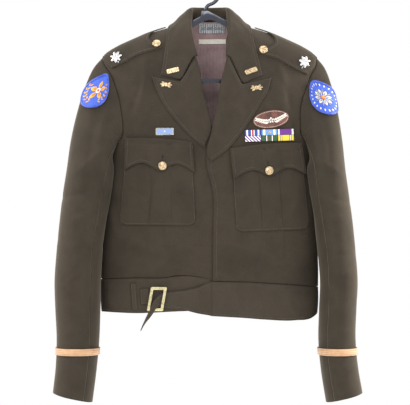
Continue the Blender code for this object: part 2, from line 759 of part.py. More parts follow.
def collar_grid():
    """One collar for both sides: the leaf lies on the fronts, the shoulders and the back."""
    rows = []
    shares = np.linspace(0, 1, COLLAR_ROWS)
    for side, order in ((RIGHT, shares[::-1]), (LEFT, shares[1:])):
        for share in order:
            section = collar_section(share, side)
            lifted = [off_body(p, lift) if lift else p for p, lift in zip(section, COLLAR_LIFTS)]
            rows.append(lifted)
    return np.array(rows)


# Sleeves


def clear_of_body(point):
    """Moves a sleeve's point out to where the cloth would lie against the body."""
    half_width, front, back = smooth_row(BODY, point[2])
    depth = (front + 7) if point[1] < 0 else (back + 6)
    width = half_width + 4
    fill = (abs(point[0]) / width) ** ROUNDNESS + (abs(point[1]) / depth) ** ROUNDNESS
    if fill >= 1:
        return point
    grow = (1 / fill) ** (1 / ROUNDNESS)
    return np.array([point[0] * grow, point[1] * grow, point[2]])


def crease_depth(level, turn):
    """The crumples of a sleeve at one place of it."""
    depth = 0
    for crease in CREASES:
        along = (level - crease.level - 40 * (turn - crease.turn)) / crease.half_height
        around = (turn - crease.turn) / crease.half_turn
        depth += crease.depth * math.exp(-(along**2) - around**2)
    return depth


def sleeve_ring(side, level, turn):
    """A point of the hanging sleeve. Turn 0 is its outer side, 0.25 its front, 0.5 its inner side."""
    inner, outer, front, back = smooth_row(SLEEVE[side], level)
    angle = 2 * math.pi * turn
    crumple = crease_depth(level, turn)
    half_width = (outer - inner) / 2 + crumple
    half_depth = (back - front) / 2 + crumple
    power = 0.92
    cosine, sine = math.cos(angle), math.sin(angle)
    x = (outer + inner) / 2 + half_width * math.copysign(abs(cosine) ** power, cosine)
    y = (front + back) / 2 - half_depth * math.copysign(abs(sine) ** power, sine)
    return clear_of_body(np.array([side * x, y, level]))


def sleeve_line(side, turn, start):
    """One line down the sleeve, from its point on the armhole to the cuff."""
    top_level = SLEEVE[side][0].level
    end = sleeve_ring(side, top_level, turn)
    outwards = (1 + math.cos(2 * math.pi * turn)) / 2
    leave = np.array([side * (0.25 + 0.6 * outwards), 0, -0.95 + 0.4 * outwards])
    leave = leave * (45 + 75 * outwards)
    arrive = np.array([side * 0.08, 0, -1]) * (30 + 150 * outwards)
    points = []
    for i in range(CAP_ROWS):
        t = (i / CAP_ROWS) ** 1.15
        point = (
            (2 * t**3 - 3 * t**2 + 1) * start
            + (t**3 - 2 * t**2 + t) * leave
            + (3 * t**2 - 2 * t**3) * end
            + (t**3 - t**2) * arrive
        )
        points.append(clear_of_body(point) if i and point[2] < -300 else point)
    cuff = SLEEVE[side][-1].level
    for i in range(ARM_ROWS + 1):
        level = top_level + (cuff - top_level) * i / ARM_ROWS
        point = sleeve_ring(side, level, turn)
        point[2] += CUFF_RISE * math.cos(2 * math.pi * turn) * (i / ARM_ROWS) ** 4
        points.append(point)
    return points


def armhole_loop(side):
    """The whole armhole as points: down the front, up the back, just outside the body's edges."""
    loop = []
    for face in ("front", "back"):
        line = armhole(side, face)
        points = [body_base(angle, level) for angle, level in line]
        if face == "front" and side == LEFT:
            points = [p + np.array([0, -overlap_lift(p[0]), 0]) for p in points]
        loop += points if face == "front" else points[::-1][1:]
    return loop


def sleeve_grid(side, turn_from, turn_to):
    """One piece of a sleeve between its two seams. Beside a seam both pieces lie in one plane."""
    steps = 2 * SLEEVE_AROUND
    loop = np.array(armhole_loop(side))
    even = np.arange(-steps, 2 * steps + 1) / steps

    def line_at(turn):
        wrapped = turn % 1
        start = np.array([np.interp(wrapped, np.arange(steps + 1) / steps, loop[:, i]) for i in range(3)])
        lift = SLEEVE_OFF_FRONT if start[1] < 0 else SLEEVE_OFF_BACK
        start = off_body(start + np.array([side * SLEEVE_ASIDE, 0, 0]), lift)
        return np.array(sleeve_line(side, wrapped, start))

    between = [line_at(turn) for turn in even[(even > turn_from + 0.02) & (even < turn_to - 0.02)]]
    seams = [(line_at(turn - SLEEVE_HEM) + line_at(turn + SLEEVE_HEM)) / 2 for turn in (turn_from, turn_to)]
    lines = [seams[0], line_at(turn_from + SLEEVE_HEM), *between, line_at(turn_to - SLEEVE_HEM), seams[1]]
    return parted(np.array(lines).transpose(1, 0, 2))


def sleeve_middle(side):
    """A point inside the sleeve, at the elbow."""
    inner, outer, front, back = smooth_row(SLEEVE[side], ELBOW_LEVEL)
    return (side * (inner + outer) / 2, (front + back) / 2, ELBOW_LEVEL)


def parted(grid):
    """Draws both long edges back by half a seam's gap."""
    grid = grid.copy()
    for edge, beside in ((0, 1), (-1, -2)):
        step = grid[:, beside] - grid[:, edge]
        length = np.linalg.norm(step, axis=1, keepdims=True)
        grid[:, edge] += step / length * SLEEVE_SEAM_HALF
    return grid


def braid_grid(side):
    """A flat braid round the cuff."""
    steps = 2 * SLEEVE_AROUND
    rows = []
    for level in (BRAID_LEVEL + BRAID_HEIGHT / 2, BRAID_LEVEL - BRAID_HEIGHT / 2):
        ring = [sleeve_ring(side, level, (i % steps) / steps) for i in range(steps + 1)]
        centre = np.mean(ring[:-1], axis=0)
        rows.append([p + (p - centre) / np.linalg.norm(p - centre) * BRAID_LIFT for p in ring])
    return np.array(rows)


def patch_axis(side):
    """The upright line that a shoulder patch bends round, as a point at the patch's own level."""
    x, level, turn = PATCH[side]
    return (x - side * math.sin(math.radians(turn)) * PATCH_BEND, PATCH_AXIS_Y, level)


def patch_grid(side, sleeve, steps=6):
    """A round shoulder patch, bent round the top sleeve."""
    turn = PATCH[side][2]
    axis_x, axis_y, level = patch_axis(side)
    rows = []
    for v in np.linspace(-1, 1, steps + 1):
        row = []
        for u in np.linspace(-1, 1, steps + 1):
            across = u * math.sqrt(1 - v * v / 2) * PATCH_WIDTH / 2
            up = v * math.sqrt(1 - u * u / 2) * PATCH_WIDTH / 2
            angle = math.radians(turn) + across / PATCH_BEND
            out = Vector((side * math.sin(angle), -math.cos(angle), 0))
            origin = Vector((axis_x, axis_y, level + up))
            upright = Vector((0, 0, 1))
            beside = out.cross(upright)
            far = []
            for shift in (upright * 0, upright * 4, upright * -4, beside * 4, beside * -4):
                hit = sleeve.ray_cast(origin + shift + out * 150, -out)
                if hit[0]:
                    far.append((hit[0] - origin).dot(out))
            row.append(np.array(origin + out * (max(far) + CLEAR + PATCH_WALL)))
        rows.append(row)
    return np.array(rows)


# Waist


def band_grid(angle_from, angle_to, columns, lift=None):
    """A stretch of the waistband between two angles."""
    points = []
    for v in np.linspace(0, 1, BAND_ROWS + 1):
        row = []
        for u in spread(columns):
            angle = angle_from + (angle_to - angle_from) * u
            x = body_base(angle, BAND_LEVEL)[0]
            seam, hem = waist_at(x, angle if abs(angle) <= 90 else 180)
            seam -= BAND_DROP
            level = seam + (hem - seam) * v
            bulge = BAND_BULGE * math.sin(math.pi * v)
            row.append(body_point(angle, level, bulge + (lift(x) if lift else 0)))
        points.append(row)
    return np.array(points)


def lapped(x):
    """How far the left band stands out over the right one."""
    return overlap_lift(x) * 1.25


def band_grids():
    """Right, left and back bands. The left one laps over the right at the centre."""
    side_angle = 90 - BAND_SEAM_ANGLE
    right_end, left_end = (pattern_angle(x, BAND_LEVEL) for x in BAND_ENDS)
    return {
        "right": band_grid(-side_angle, right_end, 16),
        "left": band_grid(left_end, side_angle, 14, lapped),
        "back": band_grid(180 - side_angle, 180 + side_angle, 20),
    }


def tab_grid(band, rows=4):
    """The band's pointed tab: behind the buckle's bar, then out over its lower edge."""
    grid = []
    for across in TAB_STATIONS:
        top, foot, lift_top, lift_foot = smooth_row(TAB, across)
        row = []
        for v in np.linspace(0, 1, rows + 1):
            level = top + (foot - top) * v
            lift = lift_top + (lift_foot - lift_top) * v
            point = laid([band], across, max(level, TAB_ON_BAND), lift + TAB_LIFT)
            row.append(np.array([point[0], point[1], level]))
        grid.append(row)
    return np.array(grid)


def rectangle(width, height, corner=0.0, steps=3):
    """The outline of a rectangle, with round corners where a radius is given."""
    if not corner:
        x, y = width / 2, height / 2
        return [(-x, -y), (x, -y), (x, y), (-x, y)]
    points = []
    for quarter, (sx, sy) in enumerate(((1, 1), (-1, 1), (-1, -1), (1, -1))):
        cx, cy = sx * (width / 2 - corner), sy * (height / 2 - corner)
        for i in range(steps + 1):
            angle = math.pi / 2 * (quarter + i / steps)
            points.append((cx + corner * math.cos(angle), cy + corner * math.sin(angle)))
    return points


def leaning(outline, degrees):
    """Leans an outline over to one side, keeping its level lines level."""
    slope = math.tan(math.radians(degrees))
    return [(x + y * slope, y) for x, y in outline]


def make_waist_hardware(band):
    outer = leaning(rectangle(BUCKLE.width, BUCKLE.height, 2.0), BUCKLE.tilt)
    inner = leaning(rectangle(BUCKLE.width - 2 * BUCKLE_BAR, BUCKLE.height - 2 * BUCKLE_BAR), BUCKLE.tilt)
    place = seat([band], BUCKLE.across, BUCKLE.level, BUCKLE_LIFT)
    flat_plate("waist_buckle", [outer, inner[::-1]], BUCKLE_THICK, "pale_brass", place)
    lay_plate("belt_loop", LOOP, [band], "wool", LOOP_WALL, columns=2, rows=6)
    lay_plate("buckle_keeper", KEEPER, [band], "wool", KEEPER_WALL, columns=4, rows=4)


# Pockets and what lies on the chest


def plate_grid(plate, skins, off, columns=6, rows=3, oval=False, start=-400.0):
    """A thin flat piece laid on the cloth, bent as the cloth is. off is how far its face stands off it."""
    tilt = math.radians(plate.tilt)
    points = []
    for v in np.linspace(1, -1, rows + 1):
        row = []
        for u in np.linspace(-1, 1, columns + 1):
            wide, high = (math.sqrt(1 - v * v / 2), math.sqrt(1 - u * u / 2)) if oval else (1, 1)
            across, up = u * wide * plate.width / 2, v * high * plate.height / 2
            x = plate.across + across * math.cos(tilt) - up * math.sin(tilt)
            level = plate.level + across * math.sin(tilt) + up * math.cos(tilt)
            row.append(laid(skins, x, level, off, reach=1.5, start=start))
        points.append(row)
    return np.array(points)


def lay_plate(name, plate, skins, material, wall, lift=0.0, **layout):
    grid = plate_grid(plate, skins, CLEAR + wall + lift, **layout)
    return cloth(name, [grid], material, (plate.across, 400, plate.level), wall)


def corner_rise(share, width, radius):
    """How far the foot of a pocket rises to round its two corners."""
    edge = min(share, 1 - share) * width
    if edge >= radius:
        return 0
    return radius - math.sqrt(max(radius**2 - (radius - edge) ** 2, 0))


def pocket_grid(side, front, refine=1, rows=9):
    """A patch pocket, a little full, with a box pleat down its middle."""
    pocket = POCKETS[side]
    width = abs(pocket.foot_out[0] - pocket.foot_in[0])
    pleat_from = (pocket.pleat_in[0] - pocket.top_in[0]) / (pocket.top_out[0] - pocket.top_in[0])
    pleat_to = (pocket.pleat_out[0] - pocket.top_in[0]) / (pocket.top_out[0] - pocket.top_in[0])
    step = 0.012
    shares = [0, 0.03, 0.07, 0.14, 0.22, pleat_from - step, pleat_from + step, (pleat_from + pleat_to) / 2]
    shares += [pleat_to - step, pleat_to + step, 0.78, 0.86, 0.93, 0.97, 1]
    steps = np.arange(len(shares))
    shares = np.interp(np.arange(steps[-1] * refine + 1) / refine, steps, sorted(shares))
    points = []
    for v in np.linspace(0, 1, rows + 1):
        row = []
        for u in shares:
            x_top = pocket.top_in[0] + (pocket.top_out[0] - pocket.top_in[0]) * u
            x_foot = pocket.foot_in[0] + (pocket.foot_out[0] - pocket.foot_in[0]) * u
            z_top = pocket.top_in[1] + (pocket.top_out[1] - pocket.top_in[1]) * u
            z_foot = pocket.foot_in[1] + (pocket.foot_out[1] - pocket.foot_in[1]) * u
            z_foot += corner_rise(u, width, POCKET_CORNER)
            pleat = PLEAT_RAISE * eased(u, pleat_from - step, pleat_from + step)
            pleat *= 1 - eased(u, pleat_to - step, pleat_to + step)
            full = POCKET_FULL * math.sin(math.pi * u) ** 0.7 * math.sin(math.pi * min(v * 0.9 + 0.1, 1))
            lift = CLEAR + POCKET_WALL + pleat * (1 - eased(v, 0.93, 1)) + full
            x, level = x_top + (x_foot - x_top) * v, z_top + (z_foot - z_top) * v
            row.append(laid([front], x, level, lift, reach=2))
        points.append(row)
    return np.array(points)


def flap_grid(side, under, rows=5, columns=16):
    """A pocket flap with a point over the button and a scallop on each side of it."""
    top_in, top_out, foot_in, foot_out = FLAPS[side]
    points = []
    for v in np.linspace(0, 1, rows + 1):
        row = []
        for u in np.linspace(0, 1, columns + 1):
            x_top = top_in[0] + (top_out[0] - top_in[0]) * u
            x_foot = foot_in[0] + (foot_out[0] - foot_in[0]) * u
            z_top = top_in[1] + (top_out[1] - top_in[1]) * u + FLAP_RISE * math.sin(math.pi * u)
            z_foot = foot_in[1] + (foot_out[1] - foot_in[1]) * u
            z_foot += FLAP_SCALLOP * abs(math.sin(2 * math.pi * u)) ** 1.3
            x, level = x_top + (x_foot - x_top) * v, z_top + (z_foot - z_top) * v
            row.append(laid(under, x, level, FLAP_OFF, reach=6))
        points.append(row)
    return np.array(points)


def strap_grid(side):
    """A shoulder strap, laid over the front of the shoulder from the sleeve to the collar."""
    edge = line_through(STRAP_EDGE[side], np.linspace(0, 1, 13))
    rows = []
    for i, (x, level) in enumerate(edge):
        front_angle = abs(pattern_angle(x, level))
        ridge_level = ridge(abs(x) + STRAP_LEAN * (1 - 1.5 * eased(i, 4, len(edge) - 1)))
        row = []
        for t in np.linspace(0, 1, 6):
            angle = front_angle + (STRAP_TOP_ANGLE - front_angle) * t
            row.append(body_point(side * angle, level + (ridge_level - level) * t, STRAP_OFF))
        rows.append(row)
    return np.array(rows)


def ridge(x):
    """The level of the shoulder line at a place across."""
    levels = np.linspace(BODY[0].level, TIP_LEVEL, 120)
    widths = [smooth_row(BODY, level)[0] for level in levels]
    return float(np.interp(abs(x), widths, levels))


def leaf_outline(length, width, lobes):
    """A narrow waved leaf with a short stem, as a closed outline."""
    right = []
    for i in range(22):
        t = i / 21
        half = width / 2 * math.sin(math.pi * t) ** 0.6 * (0.8 + 0.2 * math.cos(2 * math.pi * lobes * t))
        right.append((max(half, 0.8), length * (t - 0.45)))
    left = [(-x, y) for x, y in reversed(right)]
    return right + left


def lobed_leaf(radius, lobes=7, count=56):
    """A broad leaf with rounded lobes, as a closed outline."""
    turns = np.linspace(0, 2 * math.pi, count, endpoint=False)
    reach = [radius * (0.8 + 0.2 * math.cos(lobes * (turn - math.pi / 2))) for turn in turns]
    return [(r * math.cos(turn), r * math.sin(turn)) for r, turn in zip(reach, turns)]


def make_insignia(fronts, collar, lapels, straps):
    chest = [fronts[LEFT]]
    lay_plate("ribbon_bar", RIBBONS, chest, "ribbon", BAR_WALL, lift=SEAM, columns=9, rows=2)
    lay_plate("leather_badge", BADGE, chest, "leather", BADGE_WALL, lift=SEAM, columns=8, rows=6, oval=True)
    lay_plate("citation_bar", CITATION, [fronts[RIGHT]], "enamel", BAR_WALL, columns=4, rows=2)
    for side in (RIGHT, LEFT):
        name = SIDE_NAME[side]
        pin = COLLAR_PIN[side]
        place = seat([collar], pin.across, pin.level, COLLAR_PIN_OFF, pin.tilt)
        flat_plate(f"collar_pin_{name}", [rectangle(pin.width, pin.height, 3.0)], PIN_WALL, "brass", place)
        pin = LAPEL_PIN[side]
        place = seat([lapels[side]], pin.across, pin.level, PIN_OFF, pin.tilt)
        sprig = leaf_outline(pin.width, pin.height, lobes=2)
        place = place @ Matrix.Rotation(math.radians(90), 4, "Z")
        flat_plate(f"lapel_pin_{name}", [sprig], PIN_WALL, "brass", place)
        x, level = STRAP_LEAF[side]
        place = seat([straps[side]], x, level, LEAF_PIN_OFF, side * LEAF_TILT)
        flat_plate(f"leaf_pin_{name}", [lobed_leaf(LEAF_RADIUS)], PIN_WALL, "silver", place)


def make_button(name, under, place):
    return turned(name, BUTTON_PROFILE, "brass", seat([under], place[0], place[1], PIN_OFF))


# Hanger


def arm_top(x):
    """The level of the hanger's upper edge, just under the shoulder line."""
    neck = 41
    if abs(x) >= neck:
        return ridge(x) - ARM_DROP
    return -67.5 + (ridge(neck) - ARM_DROP + 67.5) * abs(x) / neck


def make_hanger():
    """A flat moulded frame: two arms joined by a web at the neck and by a bar below."""
    xs = np.concatenate([np.linspace(-HANGER_REACH, -16, 16), [-15, -3], np.linspace(8, HANGER_REACH, 16)])
    outer = []
    for x in xs:
        outer.append((x, HOOK_FOOT[1] - SEAM if x in (-15, -3) else arm_top(x)))
    end_level = arm_top(HANGER_REACH)
    bend = 12
    for angle in np.linspace(80, -90, 7):
        a = math.radians(angle)
        if angle > 0:
            outer.append((HANGER_REACH + bend * math.cos(a) * 0.6, end_level - bend + bend * math.sin(a)))
        else:
            outer.append((HANGER_REACH - 6 + bend * math.cos(a), BAR_FOOT + bend + bend * math.sin(a)))
    outer += [(-x, z) for x, z in reversed(outer[-7:])]
    inner = []
    for x in np.linspace(-(HANGER_REACH - 14), HANGER_REACH - 14, 19):
        inner.append((x, min(arm_top(x) - ARM_HEIGHT, WEB_FOOT)))
    inner += [(HANGER_REACH - 10, BAR_TOP + 10), (HANGER_REACH - 18, BAR_TOP)]
    inner += [(-(HANGER_REACH - 18), BAR_TOP), (-(HANGER_REACH - 10), BAR_TOP + 10)]
    upright = Matrix.Rotation(math.radians(90), 4, "X")
    centre = Matrix.Translation((0, HANGER_THICK / 2 * MM, 0))
    flat_plate("hanger_frame", [outer, inner], HANGER_THICK, "navy_plastic", centre @ upright)


def make_hook():
    """A round hook, open to the wearer's right, on a stem that leans into the frame."""
    centre_z = -(HOOK_RADIUS - HOOK_WIRE)
    points = []
    for angle in np.linspace(205, -38, 18):
        a = math.radians(angle)
        points.append((HOOK_RADIUS * math.cos(a), centre_z + HOOK_RADIUS * math.sin(a)))
    stem = line_through([points[-1], (9, -50), (-4, -57), HOOK_FOOT], np.linspace(0, 1, 9))
    curve = bpy.data.curves.new("hanger_hook", "CURVE")
    curve.dimensions = "3D"
    curve.bevel_depth = HOOK_WIRE * MM
    curve.bevel_resolution = 2
    curve.use_fill_caps = True
    route = points + [tuple(p) for p in stem[1:-1]] + [(HOOK_FOOT[0], HOOK_FOOT[1] + 3), HOOK_FOOT]
    spline = curve.splines.new("POLY")
    spline.points.add(len(route) - 1)
    for point, (x, z) in zip(spline.points, route):
        point.co = (x * MM, 0, z * MM, 1)
    place_object("hanger_hook", curve, "navy_plastic")


# The whole jacket


def make_jacket():
    """Makes each cut piece after the ones that it lies on, and keeps their outer faces."""
    fronts = {
        RIGHT: skin(cloth("front_right", [front_panel(RIGHT)], "wool", BODY_MIDDLE)),
        LEFT: skin(cloth("front_left", [front_panel(LEFT, overlap_lift)], "wool", BODY_MIDDLE)),
    }
    back = skin(cloth("back", back_halves(), "wool", BODY_MIDDLE))
    lining = skin(cloth("back_lining", [lining_grid(back)], "satin_lining", (0, 600, -200), LINING))
    collar = skin(cloth("collar", [collar_grid()], "wool", (0, 0, -180), COLLAR_WALL))
    bands = {
        name: skin(cloth(f"waist_band_{name}", [grid], "wool", (0, 0, BAND_LEVEL), BAND_WALL))
        for name, grid in band_grids().items()
    }
    cloth("waist_tab", [tab_grid(bands["right"])], "wool", (0, 400, BAND_LEVEL), TAB_WALL)
    make_waist_hardware(bands["right"])
    lapels, straps = {}, {}
    front_seam, back_seam = SLEEVE_SEAMS
    for side in (RIGHT, LEFT):
        name, front = SIDE_NAME[side], fronts[side]
        lapels[side] = skin(cloth(f"lapel_{name}", [lapel_grid(side, front)], "wool", (0, 0, -260)))
        strap = cloth(f"shoulder_strap_{name}", [strap_grid(side)], "wool", (side * 150, 0, -320))
        straps[side] = skin(strap)
        make_button(f"strap_button_{name}", straps[side], STRAP_BUTTON[side])
        middle = sleeve_middle(side)
        sleeve = cloth(f"sleeve_{name}_top", [sleeve_grid(side, back_seam - 1, front_seam)], "wool", middle)
        cloth(f"sleeve_{name}_under", [sleeve_grid(side, front_seam, back_seam)], "wool", middle)
        patch = patch_grid(side, skin(sleeve))
        cloth(f"shoulder_patch_{name}", [patch], "patch_twill", patch_axis(side), PATCH_WALL)
        braid = braid_grid(side)
        cloth(f"cuff_braid_{name}", [braid], "gold_braid", np.mean(braid[0], axis=0), BRAID_WALL)
        pocket = pocket_grid(side, front)
        pocket = skin(cloth(f"pocket_{name}", [pocket], "wool", (0, 400, -400), POCKET_WALL))
        flap = cloth(f"pocket_flap_{name}", [flap_grid(side, [front, pocket])], "wool", (0, 400, -340))
        make_button(f"pocket_button_{name}", skin(flap), FLAP_BUTTON[side])
    make_insignia(fronts, collar, lapels, straps)
    lay_plate("neck_label", LABEL, [lining], "label_satin", LABEL_WALL, columns=6, rows=2, start=0.0)
    lay_plate("name_tape", NAME_TAPE, [lining], "cotton_tape", LABEL_WALL, columns=6, rows=1, start=0.0)


def main():
    for obj in list(bpy.data.objects):
        bpy.data.objects.remove(obj)
    jacket = bpy.data.collections.new("ike_jacket")
    bpy.context.scene.collection.children.link(jacket)

    make_jacket()
    make_hook()
    make_hanger()


main()
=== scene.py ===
import json
import math
from collections import namedtuple

import bmesh
import bpy
import numpy as np
from mathutils import Matrix, Vector
from mathutils.bvhtree import BVHTree

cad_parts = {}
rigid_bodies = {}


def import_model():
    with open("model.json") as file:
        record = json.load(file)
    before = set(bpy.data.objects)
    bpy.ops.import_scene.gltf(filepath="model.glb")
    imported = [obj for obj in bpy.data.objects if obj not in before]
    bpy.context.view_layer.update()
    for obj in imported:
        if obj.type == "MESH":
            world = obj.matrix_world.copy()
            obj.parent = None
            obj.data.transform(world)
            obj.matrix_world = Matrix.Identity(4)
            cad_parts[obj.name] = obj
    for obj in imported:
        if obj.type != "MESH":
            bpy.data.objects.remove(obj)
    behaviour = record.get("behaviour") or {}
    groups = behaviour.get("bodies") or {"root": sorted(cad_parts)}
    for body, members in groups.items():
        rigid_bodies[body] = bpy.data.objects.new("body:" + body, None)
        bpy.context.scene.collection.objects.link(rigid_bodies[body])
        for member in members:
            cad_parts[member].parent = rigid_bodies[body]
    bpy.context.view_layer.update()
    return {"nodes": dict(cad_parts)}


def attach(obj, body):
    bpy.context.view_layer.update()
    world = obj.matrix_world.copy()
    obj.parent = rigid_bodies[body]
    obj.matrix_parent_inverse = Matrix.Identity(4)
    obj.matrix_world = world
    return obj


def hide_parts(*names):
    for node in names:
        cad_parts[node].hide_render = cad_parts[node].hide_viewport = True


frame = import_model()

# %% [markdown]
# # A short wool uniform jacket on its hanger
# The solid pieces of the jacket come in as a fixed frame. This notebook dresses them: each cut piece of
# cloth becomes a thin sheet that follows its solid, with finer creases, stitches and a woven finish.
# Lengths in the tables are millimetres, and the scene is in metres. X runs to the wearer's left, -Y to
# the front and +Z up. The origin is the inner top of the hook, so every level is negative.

print("solid pieces:", len(frame["nodes"]))

# %% [markdown]
# ## The sizes of the jacket
# A tailor works from a table of measures. The body is a stack of rounded rings, and each border line of
# a panel is a short list of places seen from the front. Writing them down once keeps every piece in
# step with its neighbours, which is why the same tables shape the solids.

# %% Sizes of the body and its panels
MM = 0.001
CLOTH = 2.0
LINING = 1.0
SEAM = 0.3
CLEAR = 0.7
HEM = 0.014
ROUNDNESS = 2.3
BODY_MIDDLE = (0, 0, -350)
NEWTON_STEPS = 4
JOIN = 1e-6
RIGHT, LEFT = -1, 1
SIDE_NAME = {RIGHT: "right", LEFT: "left"}
Ring = namedtuple("Ring", "level half_width front back")
BODY = [
    Ring(-74, 26, 12, 22),
    Ring(-83, 41, 17, 24),
    Ring(-98, 76, 25, 28),
    Ring(-103, 94, 28, 30),
    Ring(-110, 115, 32, 33),
    Ring(-118, 134, 36, 36),
    Ring(-125.5, 151, 39, 38),
    Ring(-133, 168, 42, 40),
    Ring(-140.5, 182, 44.5, 42),
    Ring(-148, 194, 47, 44),
    Ring(-156, 204, 49.5, 46),
    Ring(-166, 206, 52.5, 48),
    Ring(-200, 206, 62, 53),
    Ring(-260, 206, 72, 58),
    Ring(-330, 206, 77, 59),
    Ring(-420, 206, 76, 56),
    Ring(-510, 207, 71, 51),
    Ring(-560, 209, 61, 45),
    Ring(-580, 209, 51, 38),
    Ring(-620, 208, 47, 35),
    Ring(-665, 207, 45, 33),
]
FRONT_COLUMNS, BACK_COLUMNS, SIDE_ROWS = 13, 9, 9
NECK_SHARES = (0, 0.06, 0.5, 1)
NECK_LEVEL = -83
BACK_NECK_LEVEL = -84
TIP_LEVEL = -156
ARMPIT_LEVEL = -337
GORGE_LEVEL = -158
Fold = namedtuple("Fold", "face x_from level_from x_to level_to half_width height")
FOLDS = [
    Fold("front", -118, -190, -152, -300, 13, 4.5),
    Fold("front", -138, -215, -160, -310, 8, -3.0),
    Fold("front", 124, -195, 158, -305, 13, 4.5),
    Fold("front", 143, -220, 166, -315, 8, -3.0),
    Fold("front", -112, -490, -116, -556, 16, 2.0),
    Fold("front", 104, -500, 110, -560, 16, 2.0),
    Fold("back", -120, -190, -152, -320, 15, 4.5),
    Fold("back", 120, -190, 152, -320, 15, 4.5),
    Fold("back", -62, -330, -78, -560, 26, 4.0),
    Fold("back", 66, -350, 72, -560, 26, 4.0),
]
ARMHOLE_FRONT = {
    RIGHT: [(-191, -183), (-183, -203), (-175.5, -222), (-170.5, -241), (-167, -262), (-164, -288), (-166, -311)],
    LEFT: [(193, -190), (187, -209), (180.5, -224), (175.5, -240), (172, -260), (173, -287), (177.5, -314)],
}
ARMPIT_FRONT = {RIGHT: [(-62, -326), (-76, -334)], LEFT: [(70, -329), (79, -334.5)]}
ARMHOLE_BACK = [(196, -185), (188, -205), (181, -230), (177, -255), (174, -285), (176, -310)]
BREAK_RIGHT = [
    (-37, -98), (-35.5, -115), (-31.5, -141), (-21.5, -170), (-15.5, -197),
    (-11.5, -226), (-4, -254), (2, -277), (4, -296),
]
BREAK_LEFT = [
    (37, -98), (36.5, -123), (35.5, -156), (29.5, -174), (22, -202),
    (18, -226), (12.5, -254), (8, -275), (4.5, -296),
]
EDGE_RIGHT = [(22, -330), (24, -420), (24, -500)]
EDGE_LEFT = [(-5, -334), (-6.5, -353), (-3, -380), (4, -400), (7, -422), (6.5, -490), (6, -540)]
OVERLAP = 3.0
OVERLAP_FULL, OVERLAP_GONE = 32.0, 78.0
Waist = namedtuple("Waist", "across seam hem")
WAIST_RIGHT = [
    Waist(-209, -579.5, -643), Waist(-130, -577, -645), Waist(-90, -577, -643),
    Waist(-50, -572, -641), Waist(-12, -576, -640), Waist(25, -580, -640),
]
WAIST_LEFT = [
    Waist(3, -582, -650), Waist(60, -584, -653.5), Waist(110, -587, -657.5),
    Waist(165, -591, -659), Waist(200, -594, -653), Waist(209, -594.5, -646),
]
print("rings of the body:", len(BODY))

# %% Sizes of lapels, collar and sleeves
LAPEL_OUTER = {
    RIGHT: [(-110, -195), (-99.5, -224), (-86.5, -249), (-70, -272), (-50.5, -295), (-33, -312), (-9, -332)],
    LEFT: [(117.5, -197.5), (111.5, -221), (97, -246), (74, -284), (58.5, -305), (37.5, -331), (4, -357)],
}
LAPEL_GORGE = {
    RIGHT: [(-26.5, -158), (-46, -192), (-56, -205.5), (-110, -195)],
    LEFT: [(35.5, -158), (52, -192), (62, -211), (117.5, -197.5)],
}
LAPEL_FOOT = {RIGHT: (-8.5, -326), LEFT: (-4.5, -349)}
LAPEL_ROLL = 4.6
LAPEL_ASIDE = 0.8
LINING_FOOT = -345
LINING_DEPTH = CLOTH + LINING + CLEAR + 0.9
Section = namedtuple("Section", "roll_x roll_y roll_z mid_x mid_y mid_z edge_x edge_y edge_z")
COLLAR = [
    Section(0, 31, -57.5, 0, 37, -84, 0, 41, -118),
    Section(20, 27, -57.5, 30, 34, -82, 42, 39, -115),
    Section(33, 13, -58.5, 54, 17, -76, 73, 22, -99),
    Section(36, -1, -62, 58, 0, -78, 76, -4, -97),
    Section(36.5, -14, -75.5, 60, -16, -93, 79, -22, -113),
    Section(36, -30, -104, 62, -34, -119, 84, -34, -134),
    Section(32.5, -44, -133, 60, -44, -155, 89, -44, -160),
    Section(30, -54, -156, 57, -56, -204.5, 96, -54, -193),
]
COLLAR_ROWS = 13
COLLAR_LIFTS = (0, 0, 0, 5.0, 4.2, 3.5, 3.4, 3.4, 3.6)
ROLL_RADIUS = 4.5
COLLAR_WALL = 1.8
COLLAR_FOOT_GAP, COLLAR_FOOT_ASIDE, COLLAR_FOOT_LIFT = 0.9, 2.6, 2.8
SleeveRing = namedtuple("SleeveRing", "level inner outer front back")
SLEEVE = {
    RIGHT: [
        SleeveRing(-366, 174, 272, -88, 42),
        SleeveRing(-425, 186, 281, -91, 40),
        SleeveRing(-480, 196, 287, -95, 36),
        SleeveRing(-540, 205, 293, -99, 29),
        SleeveRing(-600, 207, 295, -101, 20),
        SleeveRing(-660, 208, 292, -103, 12),
        SleeveRing(-715, 211, 290, -105, 6),
        SleeveRing(-803, 222, 297, -112, 0),
    ],
    LEFT: [
        SleeveRing(-366, 183, 259, -88, 42),
        SleeveRing(-425, 191, 267, -91, 40),
        SleeveRing(-480, 200, 274, -95, 36),
        SleeveRing(-540, 207, 280, -99, 29),
        SleeveRing(-600, 211, 282, -101, 20),
        SleeveRing(-660, 207, 278, -103, 12),
        SleeveRing(-715, 208, 278, -105, 6),
        SleeveRing(-803, 221, 290, -112, 0),
    ],
}
SLEEVE_AROUND = 10
SLEEVE_SEAMS = (0.35, 0.75)
SLEEVE_HEM = 0.01
SLEEVE_ASIDE, SLEEVE_OFF_FRONT, SLEEVE_OFF_BACK = 0.8, 0.9, 2.5
SLEEVE_SEAM_HALF = SEAM / 2 + 0.2
ELBOW_LEVEL = -560
CAP_ROWS = 5
ARM_ROWS = 8
CUFF_RISE = 9.0
BRAID_LEVEL, BRAID_HEIGHT, BRAID_WALL = -716, 13, 1.2
BRAID_LIFT = BRAID_WALL + 1.9
Crease = namedtuple("Crease", "level turn half_height half_turn depth")
CREASES = [
    Crease(-395, 0.36, 12, 0.16, -4.0),
    Crease(-445, 0.30, 11, 0.14, -3.0),
    Crease(-520, 0.22, 15, 0.16, -3.5),
    Crease(-562, 0.40, 12, 0.15, -3.5),
    Crease(-640, 0.28, 14, 0.14, -2.5),
]
print("sleeve rings:", len(SLEEVE[RIGHT]))

